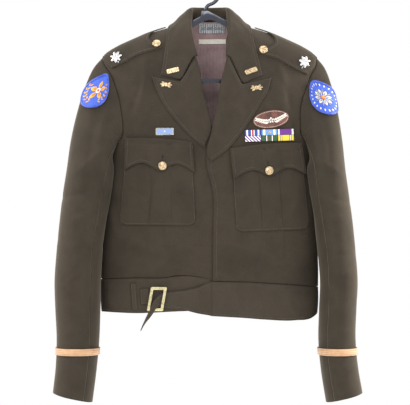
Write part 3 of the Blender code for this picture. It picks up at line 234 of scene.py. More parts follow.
# %% Sizes of pockets, straps, trim and hanger
Pocket = namedtuple("Pocket", "top_in top_out foot_in foot_out pleat_in pleat_out")
POCKETS = {
    RIGHT: Pocket((-33, -331), (-159, -331), (-27, -478), (-170, -477), (-73, -81), (-110, -116)),
    LEFT: Pocket((42, -344), (176, -335), (51, -490), (189, -485), (91, 99), (128, 134)),
}
FLAPS = {
    RIGHT: ((-32, -320), (-160, -312), (-28, -377), (-162, -372)),
    LEFT: ((38, -332), (175, -321), (45, -390), (184, -380)),
}
POCKET_CORNER = 13.0
PLEAT_RAISE = 2.0
POCKET_WALL, POCKET_FULL = 1.6, 1.6
FLAP_SCALLOP, FLAP_RISE = 14.0, 3.0
FLAP_OFF = CLEAR + CLOTH + 1.2
FLAP_BUTTON = {RIGHT: (-88.5, -365), LEFT: (112.5, -374)}
STRAP_EDGE = {
    RIGHT: [(-186, -178.5), (-174, -173), (-156, -165), (-141, -156), (-123, -149), (-103, -144), (-88, -138)],
    LEFT: [(186, -191), (175, -186), (156, -177), (140, -168), (124, -160), (106, -155), (91, -149)],
}
STRAP_TOP_ANGLE, STRAP_LEAN = 84.0, 9
STRAP_OFF = CLEAR + CLOTH + 0.6
STRAP_BUTTON = {RIGHT: (-92, -120), LEFT: (95, -130)}
STRAP_LEAF = {RIGHT: (-178, -157), LEFT: (181, -166)}
LEAF_RADIUS, LEAF_TILT = 12.0, -24
Plate = namedtuple("Plate", "across level width height tilt")
RIBBONS = Plate(113.5, -307, 94, 22, 2.0)
CITATION = Plate(-84.5, -300, 34.5, 14, 0.0)
BADGE = Plate(116.5, -276.5, 69, 34, 9.0)
COLLAR_PIN = {RIGHT: Plate(-69.5, -184, 24, 9, 12.0), LEFT: Plate(79, -184.5, 24, 9, 22.0)}
LAPEL_PIN = {RIGHT: Plate(-82, -211, 25, 9, -8.0), LEFT: Plate(89, -217, 25, 9, 8.0)}
LABEL = Plate(4.5, -98.5, 50, 19, 0.0)
NAME_TAPE = Plate(5.5, -123.5, 53, 9, 0.0)
PIN_OFF = SEAM + 0.2
BAR_WALL, BADGE_WALL, LABEL_WALL = 1.8, 1.6, 0.6
PATCH_WIDTH, PATCH_WALL, PATCH_BEND, PATCH_AXIS_Y = 66.0, 1.1, 52.0, -24.0
PATCH = {RIGHT: (-230, -221, 58.0), LEFT: (229, -234, 62.0)}
BAND_LEVEL, BAND_WALL, BAND_ROWS = -610, 2.2, 4
BAND_BULGE, BAND_DROP, BAND_SEAM_ANGLE = 1.2, SEAM + 0.9, 0.3
BAND_ENDS = (23, 4)
TAB_WALL, TAB_LIFT, TAB_ON_BAND = 1.8, CLOTH - 1.6, -640
LOOP_WALL, KEEPER_WALL = 1.6, 1.4
BUCKLE = Plate(-99, -617, 31, 46, 10.0)
BUCKLE_BAR, BUCKLE_THICK, BUCKLE_LIFT = 5.5, 2.4, 7.0
LOOP = Plate(-144, -614, 10, 52, 4.0)
KEEPER = Plate(-123.5, -613, 17, 30, 4.0)
Tab = namedtuple("Tab", "across top foot lift_top lift_foot")
TAB = [
    Tab(0, -586, -649, 2.8, 2.8),
    Tab(-23, -595, -645, 3.0, 3.0),
    Tab(-52, -601, -638, 3.2, 3.2),
    Tab(-76, -604, -636.5, 3.2, 3.2),
    Tab(-90, -606, -634.5, 3.4, 3.6),
    Tab(-97, -611, -632.0, 4.6, 9.5),
    Tab(-101, -615, -633.5, 6.5, 12.8),
    Tab(-106, -621, -643, 9.5, 13.0),
    Tab(-112, -635, -652, 13.0, 13.0),
    Tab(-122, -655, -664, 13.0, 11.0),
    Tab(-131, -676, -680, 8.0, 7.0),
]
TAB_STATIONS = (*np.linspace(0, -88, 9), *np.linspace(-92, -108, 7), -113, -119, -125, -131)
HOOK_RADIUS, HOOK_WIRE = 25.5, 3.4
HOOK_FOOT = (-9.0, -65.6)
HANGER_THICK = 5.0
HANGER_REACH = 190.0
ARM_HEIGHT = 13.0
ARM_DROP = 6.0
BAR_TOP, BAR_FOOT = -196.0, -205.0
WEB_FOOT = -83.0
print("pockets:", len(POCKETS), "straps:", len(STRAP_EDGE))

# %% [markdown]
# ## Reading the tables
# A pattern line drawn through a few points should be smooth. A cubic curve with slopes taken from its
# neighbours passes through each point and doesn't overshoot much, so it suits measured shapes. A panel
# is then filled in from its four border lines.

# %% Lines and panels
def smooth_row(rows, key):
    """Reads a table between its rows with a cubic curve. The first column is the key."""
    data = np.array(rows, float)
    if data[0, 0] > data[-1, 0]:
        data = data[::-1]
    keys, values = data[:, 0], data[:, 1:]
    slopes = np.gradient(values, keys, axis=0)
    key = min(max(key, keys[0]), keys[-1])
    i = min(int(np.searchsorted(keys, key, side="right")) - 1, len(keys) - 2)
    step = keys[i + 1] - keys[i]
    t = (key - keys[i]) / step
    start, end = values[i], values[i + 1]
    lean_start, lean_end = slopes[i] * step, slopes[i + 1] * step
    return (
        (2 * t**3 - 3 * t**2 + 1) * start
        + (t**3 - 2 * t**2 + t) * lean_start
        + (3 * t**2 - 2 * t**3) * end
        + (t**3 - t**2) * lean_end
    )


def spread(count, hem=HEM):
    """Shares from 0 to 1 in even steps, with a narrow first and last one for the sewn edges."""
    return np.concatenate([[0], np.linspace(hem, 1 - hem, count - 1), [1]])


def line_through(points, shares, curved=True, place=None):
    """Gives the points at some shares of the length of a line through the given ones.

    place turns a point of the line into a point in space, to measure the length there.
    """
    points = np.array(points, float)
    reach = np.concatenate([[0], np.cumsum(np.linalg.norm(np.diff(points, axis=0), axis=1))])
    fine = np.linspace(0, reach[-1], 240)
    if curved and len(points) > 2:
        keyed = np.column_stack([reach, points])
        dense = np.array([smooth_row(keyed, value) for value in fine])
    else:
        dense = np.column_stack([np.interp(fine, reach, column) for column in points.T])
    measured = dense if place is None else np.array([place(*point) for point in dense])
    run = np.concatenate([[0], np.cumsum(np.linalg.norm(np.diff(measured, axis=0), axis=1))])
    stops = np.array(shares) * run[-1]
    return np.column_stack([np.interp(stops, run, column) for column in dense.T])


def filled(top, foot, start, end, across, down):
    """Fills four border lines with a grid of points, as a Coons patch. Rows run from top to foot."""
    across = np.array(across)[None, :, None]
    down = np.array(down)[:, None, None]
    between_sides = (1 - across) * start[:, None] + across * end[:, None]
    between_ends = (1 - down) * top[None] + down * foot[None]
    corners = (1 - down) * ((1 - across) * top[0] + across * top[-1])
    corners = corners + down * ((1 - across) * foot[0] + across * foot[-1])
    return between_sides + between_ends - corners


def eased(value, start, end):
    """Rises smoothly from 0 at start to 1 at end."""
    t = min(max((value - start) / (end - start), 0), 1)
    return t * t * (3 - 2 * t)


print("half way up the body the ring is", np.round(smooth_row(BODY, -370), 1), "mm")

# %% [markdown]
# ## The body's surface
# Every panel lies on one rounded surface, squarer than an oval because a chest is flatter in front. A
# point of it is found from an angle round the body and a level, and the shoulder line is where the
# rings close in. Soft drag lines run from the armpits, where the cloth has room to fall.

# %% The body's surface
def fold_height(face, x, level):
    """Adds up the soft rolls of one face of the body at a place."""
    height = 0
    for fold in FOLDS:
        if fold.face != face:
            continue
        run = np.array([fold.x_to - fold.x_from, fold.level_to - fold.level_from], float)
        away = np.array([x - fold.x_from, level - fold.level_from])
        share = float(away @ run / (run @ run))
        nearest = min(max(share, 0.15), 0.85)
        distance = np.linalg.norm(away - nearest * run)
        height += fold.height * math.exp(-((distance / fold.half_width) ** 2))
    return height


def body_base(angle, level):
    """A point of the body: angle 0 is the centre front, 90 the wearer's left side, 180 the centre back."""
    half_width, front, back = smooth_row(BODY, level)
    sine, cosine = math.sin(math.radians(angle)), math.cos(math.radians(angle))
    power = 2 / ROUNDNESS
    x = half_width * math.copysign(abs(sine) ** power, sine)
    face, depth, out = ("front", front, -1) if cosine > 0 else ("back", back, 1)
    y = out * (depth * abs(cosine) ** power + fold_height(face, x, level) * abs(cosine) ** 0.5)
    return np.array([x, y, level])


def body_point(angle, level, lift=0.0):
    """A point of the body, moved out by lift along the cloth's own normal."""
    point = body_base(angle, level)
    if not lift:
        return point
    around = body_base(angle + 1, level) - body_base(angle - 1, level)
    down = body_base(angle, level - 1) - body_base(angle, level + 1)
    normal = np.cross(down, around)
    normal = normal / np.linalg.norm(normal)
    return point + normal * lift


def pattern_angle(x, level):
    """The angle whose body point lies at x, on the front half."""
    half_width = smooth_row(BODY, level)[0]
    share = min(abs(x) / half_width, 1) ** (ROUNDNESS / 2)
    return math.copysign(math.degrees(math.asin(share)), x)


def on_front(points):
    """Turns places seen from the front into angle and level."""
    return [(pattern_angle(x, level), level) for x, level in points]


def on_back(points, side):
    """Turns places seen from the front into angle and level on the back half."""
    return [(side * (180 - abs(pattern_angle(x, level))), level) for x, level in points]


def waist_at(x, angle):
    """Levels of the waist seam and of the hem. Behind, they run straight from side to side."""
    if abs(angle) > 90:
        share = (x + 209) / 418
        return (
            WAIST_RIGHT[0].seam + share * (WAIST_LEFT[-1].seam - WAIST_RIGHT[0].seam),
            WAIST_RIGHT[0].hem + share * (WAIST_LEFT[-1].hem - WAIST_RIGHT[0].hem),
        )
    return tuple(smooth_row(WAIST_RIGHT if angle < 0 else WAIST_LEFT, x))


def overlap_lift(x):
    """How far the left front and its band stand out to clear the right ones at the centre."""
    return OVERLAP * (1 - eased(x, OVERLAP_FULL, OVERLAP_GONE))


def body_fill(point):
    """Under 1 inside the body, 1 on its surface and over 1 outside it."""
    half_width, front, back = smooth_row(BODY, point[2])
    depth = front + overlap_lift(abs(point[0])) if point[1] < 0 else back
    return (abs(point[0]) / half_width) ** ROUNDNESS + (abs(point[1]) / depth) ** ROUNDNESS


def off_body(point, lift):
    """Moves a point out, square to the body's surface, until it stands at least lift off it."""
    point = np.array(point, float)
    for _ in range(NEWTON_STEPS):
        fill = body_fill(point)
        slope = np.array([body_fill(point + step) - body_fill(point - step) for step in np.eye(3) * 0.5])
        steepness = np.linalg.norm(slope)
        height = (fill - 1) / steepness
        if height >= lift:
            break
        point = point + slope / steepness * (lift - height)
    return point


def ridge(x):
    """The level of the shoulder line at a place across."""
    levels = np.linspace(BODY[0].level, TIP_LEVEL, 120)
    widths = [smooth_row(BODY, level)[0] for level in levels]
    return float(np.interp(abs(x), widths, levels))


print("shoulder line at 120 mm across lies at", round(ridge(120), 1), "mm")


# %% [markdown]
# ## Cloth as a thin sheet
# Real cloth is one thin sheet with a face, a back and a cut edge. A Cloth simulation could drape it, but
# a pressed and tailored piece keeps the form it was sewn to, so each piece starts as a grid that lies on
# the solid's form. A finer grid is drawn through the coarse one, its creases are pushed in or out, and a
# Solidify modifier gives it the thickness of folded wool at its edges.

# %% A finer grid
def finer(grid, times):
    """Draws a smooth finer grid through the points of a coarse one, in both directions."""
    for axis in (0, 1):
        rows = np.moveaxis(grid, axis, 0)
        if len(rows) < 3:
            continue
        steps = np.linalg.norm(np.diff(rows, axis=0), axis=2).mean(axis=1)
        keys = np.concatenate([[0], np.cumsum(np.maximum(steps, 1e-3))])
        slopes = np.gradient(rows, keys, axis=0)
        made = [rows[0]]
        for i, step in enumerate(steps):
            count = max(1, min(times, round(step / FINEST)))
            for t in np.arange(1, count + 1) / count:
                start, end = rows[i], rows[i + 1]
                lean_start, lean_end = slopes[i] * step, slopes[i + 1] * step
                made.append(
                    (2 * t**3 - 3 * t**2 + 1) * start
                    + (t**3 - 2 * t**2 + t) * lean_start
                    + (3 * t**2 - 2 * t**3) * end
                    + (t**3 - t**2) * lean_end
                )
        grid = np.moveaxis(np.array(made), 0, axis)
    return grid


FINEST = 3.2
print("cloth is drawn every", FINEST, "mm")


# %% Lengths along a grid
def lengths(grid, axis):
    """How far each point lies from the start of its row or column, along the cloth."""
    steps = np.linalg.norm(np.diff(grid, axis=axis), axis=2)
    zero = np.zeros_like(np.take(steps, [0], axis=axis))
    return np.concatenate([zero, np.cumsum(steps, axis=axis)], axis=axis)


# %% [markdown]
# ## Creases
# Worn wool breaks into a few soft rolls: long drag lines from the armpit, short rucks where a sleeve
# bends, and sharp pressed lines by the pockets. Noise would spread them evenly, which no coat shows, so
# each one is placed one by one with its own length, width and height.

# %% Creases by place
Ruck = namedtuple("Ruck", "x_from level_from x_to level_to half_width height")
RUCKS = {
    "front_right": [
        Ruck(-118, -150, -135, -262, 7, 1.6), Ruck(-128, -190, -156, -292, 5, -1.4),
        Ruck(-104, -230, -150, -322, 6, 1.0), Ruck(-114, -432, -114, -528, 1.6, 1.3),
        Ruck(-82, -432, -82, -527, 1.6, 1.1), Ruck(-190, -500, -60, -540, 9, 0.9),
        Ruck(-60, -556, 10, -548, 7, 1.0), Ruck(-180, -566, -110, -556, 6, 1.1),
        Ruck(-196, -380, -180, -500, 8, 1.5), Ruck(-34, -360, -12, -470, 9, 0.8),
    ],
    "front_left": [
        Ruck(128, -150, 148, -260, 7, 1.6), Ruck(140, -200, 166, -300, 5, -1.4),
        Ruck(108, -240, 160, -328, 6, 1.0), Ruck(105, -442, 105, -545, 1.6, 1.3),
        Ruck(138, -442, 138, -545, 1.6, 1.1), Ruck(20, -548, 120, -560, 8, 1.0),
        Ruck(120, -566, 190, -576, 6, 1.1), Ruck(197, -380, 184, -510, 8, 1.5),
        Ruck(14, -410, 20, -560, 2.0, 0.9), Ruck(24, -380, 36, -470, 9, 0.8),
    ],
    "back": [
        Ruck(-150, -220, -90, -300, 9, 1.6), Ruck(150, -220, 90, -300, 9, 1.6),
        Ruck(-60, -150, 60, -152, 10, 1.2), Ruck(-120, -560, 20, -548, 8, 1.4),
        Ruck(130, -575, 30, -556, 7, 1.2), Ruck(0, -200, 4, -420, 14, 0.9),
        Ruck(-110, -380, -96, -540, 9, 1.4), Ruck(112, -360, 100, -550, 9, 1.2),
    ],
    "sleeve_right_top": [
        Ruck(-214, -262, -232, -420, 7, -1.6), Ruck(-196, -250, -210, -360, 6, 1.8),
        Ruck(-188, -330, -262, -382, 6, 1.8), Ruck(-204, -400, -284, -432, 6, -1.9),
        Ruck(-196, -452, -262, -470, 5, 1.6), Ruck(-214, -520, -290, -500, 7, -1.6),
        Ruck(-208, -560, -272, -584, 6, 1.7), Ruck(-216, -618, -288, -604, 6, -1.3),
        Ruck(-222, -664, -270, -682, 5, 1.2), Ruck(-228, -748, -284, -738, 7, 0.9),
    ],
    "sleeve_left_top": [
        Ruck(216, -270, 230, -404, 7, -1.5), Ruck(194, -258, 208, -362, 6, 1.8),
        Ruck(190, -344, 252, -388, 6, 1.7), Ruck(206, -410, 266, -436, 6, -1.7),
        Ruck(204, -474, 258, -458, 5, 1.5), Ruck(212, -520, 276, -534, 7, -1.5),
        Ruck(216, -584, 268, -562, 6, 1.6), Ruck(224, -640, 276, -618, 6, -1.3),
        Ruck(222, -584, 228, -700, 2.2, 1.4), Ruck(236, -752, 280, -742, 7, 0.9),
    ],
    "sleeve_right_under": [Ruck(-190, -400, -240, -420, 7, 1.5), Ruck(-200, -520, -250, -500, 7, -1.4)],
    "sleeve_left_under": [Ruck(190, -410, 232, -428, 7, 1.5), Ruck(208, -540, 246, -520, 7, -1.4)],
    "waist_band_right": [Ruck(-196, -590, -186, -640, 6, 1.2), Ruck(-60, -584, -20, -606, 5, 0.8)],
    "waist_band_left": [Ruck(40, -590, 60, -640, 7, 0.9), Ruck(150, -600, 166, -652, 7, 1.1)],
    "lapel_right": [Ruck(-30, -230, -60, -262, 8, 0.9)],
    "lapel_left": [Ruck(34, -250, 66, -272, 8, 0.9)],
    "pocket_right": [
        Ruck(-40, -400, -62, -470, 7, 0.9), Ruck(-150, -392, -128, -452, 8, 1.0),
        Ruck(-73, -366, -81, -484, 1.7, -1.7), Ruck(-110, -366, -116, -484, 1.7, -1.7),
    ],
    "pocket_left": [
        Ruck(62, -410, 84, -474, 7, 0.9), Ruck(172, -404, 150, -466, 8, 1.0),
        Ruck(91, -376, 99, -494, 1.7, -1.7), Ruck(128, -376, 134, -494, 1.7, -1.7),
    ],
    "collar": [Ruck(-50, -100, -78, -170, 8, 0.8), Ruck(58, -110, 84, -172, 8, 0.8)],
    "waist_tab": [Ruck(-70, -606, -12, -600, 5, 1.0), Ruck(-66, -630, -8, -640, 5, 0.8)],
    "back_lining": [
        Ruck(-6, -150, -24, -262, 5, 2.0), Ruck(26, -150, 40, -290, 6, 1.8), Ruck(4, -180, 12, -300, 4, -1.4)
    ],
}


# Soft rolls are drawn a little higher than measured, and pressed lines as they are.
SHARP, SOFT_GAIN = 3, 1.3


def ruck_height(name, x, level):
    """Adds up the creases of one piece at a place seen from the front. Each fades out at its ends."""
    height = np.zeros_like(x)
    for ruck in RUCKS.get(name, []):
        run = np.array([ruck.x_to - ruck.x_from, ruck.level_to - ruck.level_from], float)
        share = ((x - ruck.x_from) * run[0] + (level - ruck.level_from) * run[1]) / (run @ run)
        along = np.clip(share, 0, 1)
        wander = 0.5 * ruck.half_width * np.sin(along * 5 + ruck.x_from)
        away_x = x - ruck.x_from - along * run[0] - wander * run[1] / np.linalg.norm(run)
        away_level = level - ruck.level_from - along * run[1] + wander * run[0] / np.linalg.norm(run)
        distance = np.hypot(away_x, away_level)
        fade = np.sin(np.pi * np.clip(along, 0.02, 0.98)) ** 0.6
        gain = 1 if ruck.half_width < SHARP else SOFT_GAIN
        height += gain * ruck.height * fade * np.exp(-((distance / ruck.half_width) ** 2))
    return height


print("creases placed:", sum(len(rucks) for rucks in RUCKS.values()))

# %% [markdown]
# ## Sewn edges
# An edge that is turned in and topstitched is thicker than the field beside it, and the thread pulls a
# fine furrow into it. That line is what makes a pocket or lapel read as sewn. It follows the border at
# one distance, so it is worked out from each point's distance to the edges along the cloth.

# %% Furrow along the stitches
def edge_relief(grid, edges, inset, depth=0.45, bead=0.35):
    """The height of a topstitched edge: a soft bead outside the thread and a furrow under it."""
    distance = np.full(grid.shape[:2], 1e3)
    for name in edges:
        axis = 0 if name in ("top", "foot") else 1
        run = lengths(grid, axis)
        total = np.take(run, [-1], axis=axis)
        distance = np.minimum(distance, run if name in ("top", "start") else total - run)
    furrow = -depth * np.exp(-(((distance - inset) / 1.3) ** 2))
    raised = bead * (1 / (1 + np.exp((distance - inset + 1.0) / 0.8)))
    rounded = -0.5 * np.exp(-((distance / 1.4) ** 2))
    return furrow + raised + rounded


SEWN = namedtuple("SEWN", "edges inset")
SEWN_EDGES = {
    "lapel_right": SEWN(("end", "top"), 6.5), "lapel_left": SEWN(("end", "top"), 6.5),
    "collar": SEWN(("end",), 6.5),
    "pocket_right": SEWN(("start", "end", "foot"), 3.0), "pocket_left": SEWN(("start", "end", "foot"), 3.0),
    "pocket_flap_right": SEWN(("start", "end", "foot"), 5.5), "pocket_flap_left": SEWN(("start", "end", "foot"), 5.5),
    "shoulder_strap_right": SEWN(("start", "foot", "end"), 5.0),
    "shoulder_strap_left": SEWN(("start", "foot", "end"), 5.0),
    "waist_band_right": SEWN(("top", "foot"), 4.0), "waist_band_left": SEWN(("top", "foot"), 4.0),
    "waist_band_back": SEWN(("top", "foot"), 4.0), "waist_tab": SEWN(("start", "end", "foot"), 4.0),
}
print("pieces with a stitched edge:", len(SEWN_EDGES))


# %% [markdown]
# ## Colours and materials
# Each material is named for the real one. The hex values are what the eye sees, so one function turns
# them to the linear numbers a shader works in, and one small function adds a node with its settings and
# its links, which keeps each recipe short enough to read.

# %% Colour and nodes
def linear(hex_colour):
    """Turns an sRGB hex colour into linear values."""
    channels = [int(hex_colour[i : i + 2], 16) / 255 for i in (0, 2, 4)]
    return [c / 12.92 if c <= 0.04045 else ((c + 0.055) / 1.055) ** 2.4 for c in channels]


def add_node(material, kind, settings=None, links=None):
    """Adds one node, sets its values, and links its inputs to other nodes' outputs."""
    node = material.node_tree.nodes.new("ShaderNode" + kind)
    for key, value in (settings or {}).items():
        if isinstance(key, int) or key in node.inputs:
            node.inputs[key].default_value = value
        else:
            setattr(node, key, value)
    for key, source in (links or {}).items():
        material.node_tree.links.new(source, node.inputs[key])
    return node


def new_material(name, hex_colour, roughness, metallic=0.0, **sockets):
    """A Principled material with its plain numbers set on the shader's own sockets."""
    material = bpy.data.materials.new(name)
    material.use_nodes = True
    shader = material.node_tree.nodes["Principled BSDF"]
    shader.inputs["Base Color"].default_value = (*linear(hex_colour), 1)
    shader.inputs["Roughness"].default_value = roughness
    shader.inputs["Metallic"].default_value = metallic
    for socket, value in sockets.items():
        shader.inputs[socket.replace("_", " ")].default_value = value
    return material, shader


def ramp(material, source, stops, interpolation="LINEAR"):
    """A colour ramp with its stops given as place and hex colour."""
    node = add_node(material, "ValToRGB", links={"Fac": source})
    node.color_ramp.interpolation = interpolation
    while len(node.color_ramp.elements) > 1:
        node.color_ramp.elements.remove(node.color_ramp.elements[0])
    for i, (place, colour) in enumerate(stops):
        element = node.color_ramp.elements[0] if i == 0 else node.color_ramp.elements.new(place)
        element.position = place
        element.color = (*linear(colour), 1)
    return node


def tint(material, shader, colour):
    """Colours the shader by another node's output."""
    material.node_tree.links.new(colour, shader.inputs["Base Color"])


def emboss(material, shader, height, strength, depth_mm, invert=False):
    """Tilts the shading as if the surface rose and fell by a depth in millimetres."""
    settings = {"Strength": strength, "Distance": depth_mm * MM, "invert": invert}
    bump = add_node(material, "Bump", settings, {"Height": height})
    material.node_tree.links.new(bump.outputs["Normal"], shader.inputs["Normal"])


WAVE_TURN = 2 * math.pi
print("first colour in linear values:", [round(c, 3) for c in linear("443D37")])

# %% [markdown]
# ## Wool elastique
# The jacket is a heavy worsted wool with a steep twill, dark olive-brown, with a short nap. The nap
# catches light at grazing angles as a pale bloom, which Sheen gives. The twill is 0.8 mm on the real
# cloth, too fine for a render of this size, so it is drawn a little coarser. The colour wanders softly
# over hand-sized areas where the cloth has been worn and pressed.

# %% Wool
TWILL_MM = 1.5
NAP_MM = 0.9


def twill_wool(name, hex_dark, hex_light, sheen):
    material, shader = new_material(name, hex_dark, 0.85, Sheen_Weight=sheen, Sheen_Roughness=0.35)
    shader.inputs["Sheen Tint"].default_value = (*linear("F3E6CF"), 1)
    shader.inputs["Specular IOR Level"].default_value = 0.25
    place = add_node(material, "TexCoord")
    cloth_uv, object_place = place.outputs["UV"], place.outputs["Object"]
    turned_uv = add_node(material, "Mapping", {"Rotation": (0, 0, math.radians(63))}, {"Vector": cloth_uv})
    twill = add_node(
        material, "TexWave",
        {"Scale": 1000 / TWILL_MM / WAVE_TURN, "Distortion": 1.2, "Detail": 2.0, "Detail Scale": 3.0},
        {"Vector": turned_uv.outputs[0]}
    )
    nap = add_node(
        material, "TexNoise", {"Scale": 1000 / NAP_MM, "Detail": 4.0, "Roughness": 0.65}, {"Vector": object_place}
    )
    worn = add_node(material, "TexNoise", {"Scale": 11.0, "Detail": 5.0, "Roughness": 0.62}, {"Vector": object_place})
    lint = add_node(material, "TexNoise", {"Scale": 260.0, "Detail": 3.0, "Roughness": 0.7}, {"Vector": object_place})
    tone = ramp(material, worn.outputs["Fac"], [(0.3, hex_dark), (0.5, hex_light), (0.72, hex_dark)])
    grain = add_node(material, "Math", {"operation": "MULTIPLY_ADD", 1: 0.5, 2: 0.0}, {0: nap.outputs["Fac"]})
    both = add_node(
        material, "Math", {"operation": "MULTIPLY_ADD", 1: 0.5}, {0: twill.outputs["Fac"], 2: grain.outputs[0]}
    )
    shade = add_node(
        material, "MapRange", {"From Min": 0.2, "From Max": 0.8, "To Min": 0.89, "To Max": 1.12},
        {"Value": both.outputs[0]}
    )
    mottled = add_node(
        material, "MapRange", {"From Min": 0.35, "From Max": 0.7, "To Min": 0.94, "To Max": 1.08},
        {"Value": lint.outputs["Fac"]}
    )
    depth = add_node(material, "Math", {"operation": "MULTIPLY"}, {0: shade.outputs[0], 1: mottled.outputs[0]})
    coloured = add_node(
        material, "VectorMath", {"operation": "SCALE"}, {0: tone.outputs["Color"], "Scale": depth.outputs[0]}
    )
    tint(material, shader, coloured.outputs[0])
    emboss(material, shader, both.outputs[0], 0.35, 0.6)
    return material


WOOL = twill_wool("wool_elastique", "302A22", "3A332A", 0.22)
# A slightly lighter copy of the same wool, with a little more sheen, for the waistband, its tab, the belt loop and the
# keeper.
WOOL_LIGHTER = twill_wool("wool_elastique_waistband", "352F27", "3F382F", 0.24)
print("twill drawn every", TWILL_MM, "mm")

# %% [markdown]
# ## Lining, tape, braid, thread and ribbon
# The lining is a mauve-brown rayon satin: long floats make it bright along the folds and dark between
# them. The label is black satin with a silver weave, bare here, and the tape is plain cream cotton. The
# braid at the cuff is a flat band of worsted with a ribbed edge.

# %% Other cloths
def fine_cloth(name, hex_dark, hex_light, roughness, rib_mm, sheen=0.2, turn=0.0, strength=0.3):
    """A finer cloth: ribs across its own UV map, with a slight change of shade along each thread."""
    material, shader = new_material(name, hex_dark, roughness, Sheen_Weight=sheen)
    place = add_node(material, "TexCoord")
    mapped = add_node(material, "Mapping", {"Rotation": (0, 0, math.radians(turn))}, {"Vector": place.outputs["UV"]})
    ribs = add_node(
        material, "TexWave", {"Scale": 1000 / rib_mm / WAVE_TURN, "Distortion": 0.6, "Detail": 1.0},
        {"Vector": mapped.outputs[0]}
    )
    slubs = add_node(
        material, "TexNoise", {"Scale": 90.0, "Detail": 4.0, "Roughness": 0.6}, {"Vector": place.outputs["Object"]}
    )
    mix = add_node(
        material, "Math", {"operation": "MULTIPLY_ADD", 1: 0.45}, {0: ribs.outputs["Fac"], 2: slubs.outputs["Fac"]}
    )
    tone = ramp(material, mix.outputs[0], [(0.3, hex_dark), (0.85, hex_light)])
    tint(material, shader, tone.outputs["Color"])
    emboss(material, shader, ribs.outputs["Fac"], strength, 0.5)
    return material


SATIN = fine_cloth("rayon_satin_lining", "8A6C6C", "B09494", 0.42, 1.4, 0.1)
LABEL_SATIN = fine_cloth("woven_satin_label", "3A3C41", "C4C6CA", 0.4, 2.2, 0.1)
TAPE_COTTON = fine_cloth("cotton_tape", "F2E8D0", "FFFBEF", 0.85, 1.3, 0.2)
BRAID = fine_cloth("worsted_cuff_braid", "A87B55", "CFA57E", 0.7, 1.8, 0.3, 90.0)
THREAD = fine_cloth("cotton_sewing_thread", "2E2820", "5A5146", 0.6, 0.6, 0.3)
# Near-black for the buttonholes: partly the darker twist of the stitching, partly painted shade in the slits and in the
# eyelet's hole.
DARK_HOLE = fine_cloth("buttonhole_twist_and_slit_shade", "120F0C", "241E19", 0.7, 0.6, 0.2)
PATCH_BLUE = fine_cloth("embroidered_blue_twill", "2440A8", "3F63D0", 0.75, 1.3, 0.25, 45.0)
SILK_BLUE = fine_cloth("blue_rim_silk", "2440A8", "5272E0", 0.5, 0.9, 0.2)
SILK_GOLD = fine_cloth("gold_embroidery_silk", "C98A1C", "F0BE3E", 0.5, 0.9, 0.2)
SILK_ORANGE = fine_cloth("orange_embroidery_silk", "C4591E", "E88A3C", 0.5, 0.9, 0.2)
SILK_RED = fine_cloth("red_embroidery_silk", "A01E22", "CC3A36", 0.5, 0.9, 0.2)
SILK_WHITE = fine_cloth("white_embroidery_silk", "CFCBC0", "FAF8F2", 0.5, 0.9, 0.2)
SILK_GREY = fine_cloth("grey_embroidery_silk", "6E747C", "9DA3AA", 0.5, 0.9, 0.2)
print("cloths:", len(bpy.data.materials))

# %% [markdown]
# ## Leather, metal and plastic
# The badge is brown leather with a pebbled grain. Buttons and pins are stamped brass, lacquered and
# mottled by age; the leaf pins are bright silver; the buckle is a pale plated brass. The hanger is
# moulded polystyrene, dark navy and very glossy, with a faint waviness from the mould.

# %% Hard materials
def mottled_metal(name, hex_colour, hex_worn, roughness):
    material, shader = new_material(name, hex_colour, roughness, 1.0)
    place = add_node(material, "TexCoord")
    spots = add_node(
        material, "TexNoise", {"Scale": 420.0, "Detail": 5.0, "Roughness": 0.6}, {"Vector": place.outputs["Object"]}
    )
    tone = ramp(material, spots.outputs["Fac"], [(0.35, hex_worn), (0.6, hex_colour)])
    tint(material, shader, tone.outputs["Color"])
    rough = add_node(
        material, "MapRange", {"To Min": roughness + 0.2, "To Max": roughness}, {"Value": spots.outputs["Fac"]}
    )
    material.node_tree.links.new(rough.outputs[0], shader.inputs["Roughness"])
    emboss(material, shader, spots.outputs["Fac"], 0.15, 0.2)
    return material


BRASS = mottled_metal("lacquered_stamped_brass", "DCC6A0", "8A7356", 0.28)
PALE_BRASS = mottled_metal("plated_pale_brass", "E8DEB4", "A99C6C", 0.22)
SILVER = mottled_metal("bright_silver_plate", "E9E9EA", "9B9DA1", 0.25)


def pebbled_leather():
    material, shader = new_material("brown_badge_leather", "5A332A", 0.55)
    place = add_node(material, "TexCoord")
    pebbles = add_node(
        material, "TexVoronoi", {"Scale": 900.0, "feature": "SMOOTH_F1"}, {"Vector": place.outputs["Object"]}
    )
    stain = add_node(material, "TexNoise", {"Scale": 80.0, "Detail": 4.0}, {"Vector": place.outputs["Object"]})
    tone = ramp(material, stain.outputs["Fac"], [(0.35, "4C2A22"), (0.65, "7A4A3C")])
    tint(material, shader, tone.outputs["Color"])
    emboss(material, shader, pebbles.outputs["Distance"], 0.4, 0.3, invert=True)
    return material


def moulded_polystyrene():
    material, shader = new_material("moulded_navy_polystyrene", "14182C", 0.14, IOR=1.59, Coat_Weight=0.3)
    place = add_node(material, "TexCoord")
    flow = add_node(material, "TexNoise", {"Scale": 45.0, "Detail": 2.0}, {"Vector": place.outputs["Object"]})
    tone = ramp(material, flow.outputs["Fac"], [(0.3, "0F1322"), (0.7, "1B2140")])
    tint(material, shader, tone.outputs["Color"])
    emboss(material, shader, flow.outputs["Fac"], 0.12, 0.6)
    return material


LEATHER = pebbled_leather()
PLASTIC = moulded_polystyrene()
ENAMEL = new_material("pale_blue_ribbon_enamel", "7F9ACD", 0.35)[0]
print("materials in all:", len(bpy.data.materials))


# %% [markdown]
# ## Dressing a piece
# A cut piece of cloth is made as one welded grid, so its two halves can share a centre line. Each point
# moves out along the cloth's own normal by the height of its creases and sewn edge. The UV map is the
# length along the cloth in metres, so the twill keeps its size on every piece and turns with it.

# %% One cut piece
CUTS, GRIDS, SKINS = {}, {}, {}
SMALLEST_CUT = 0.0101


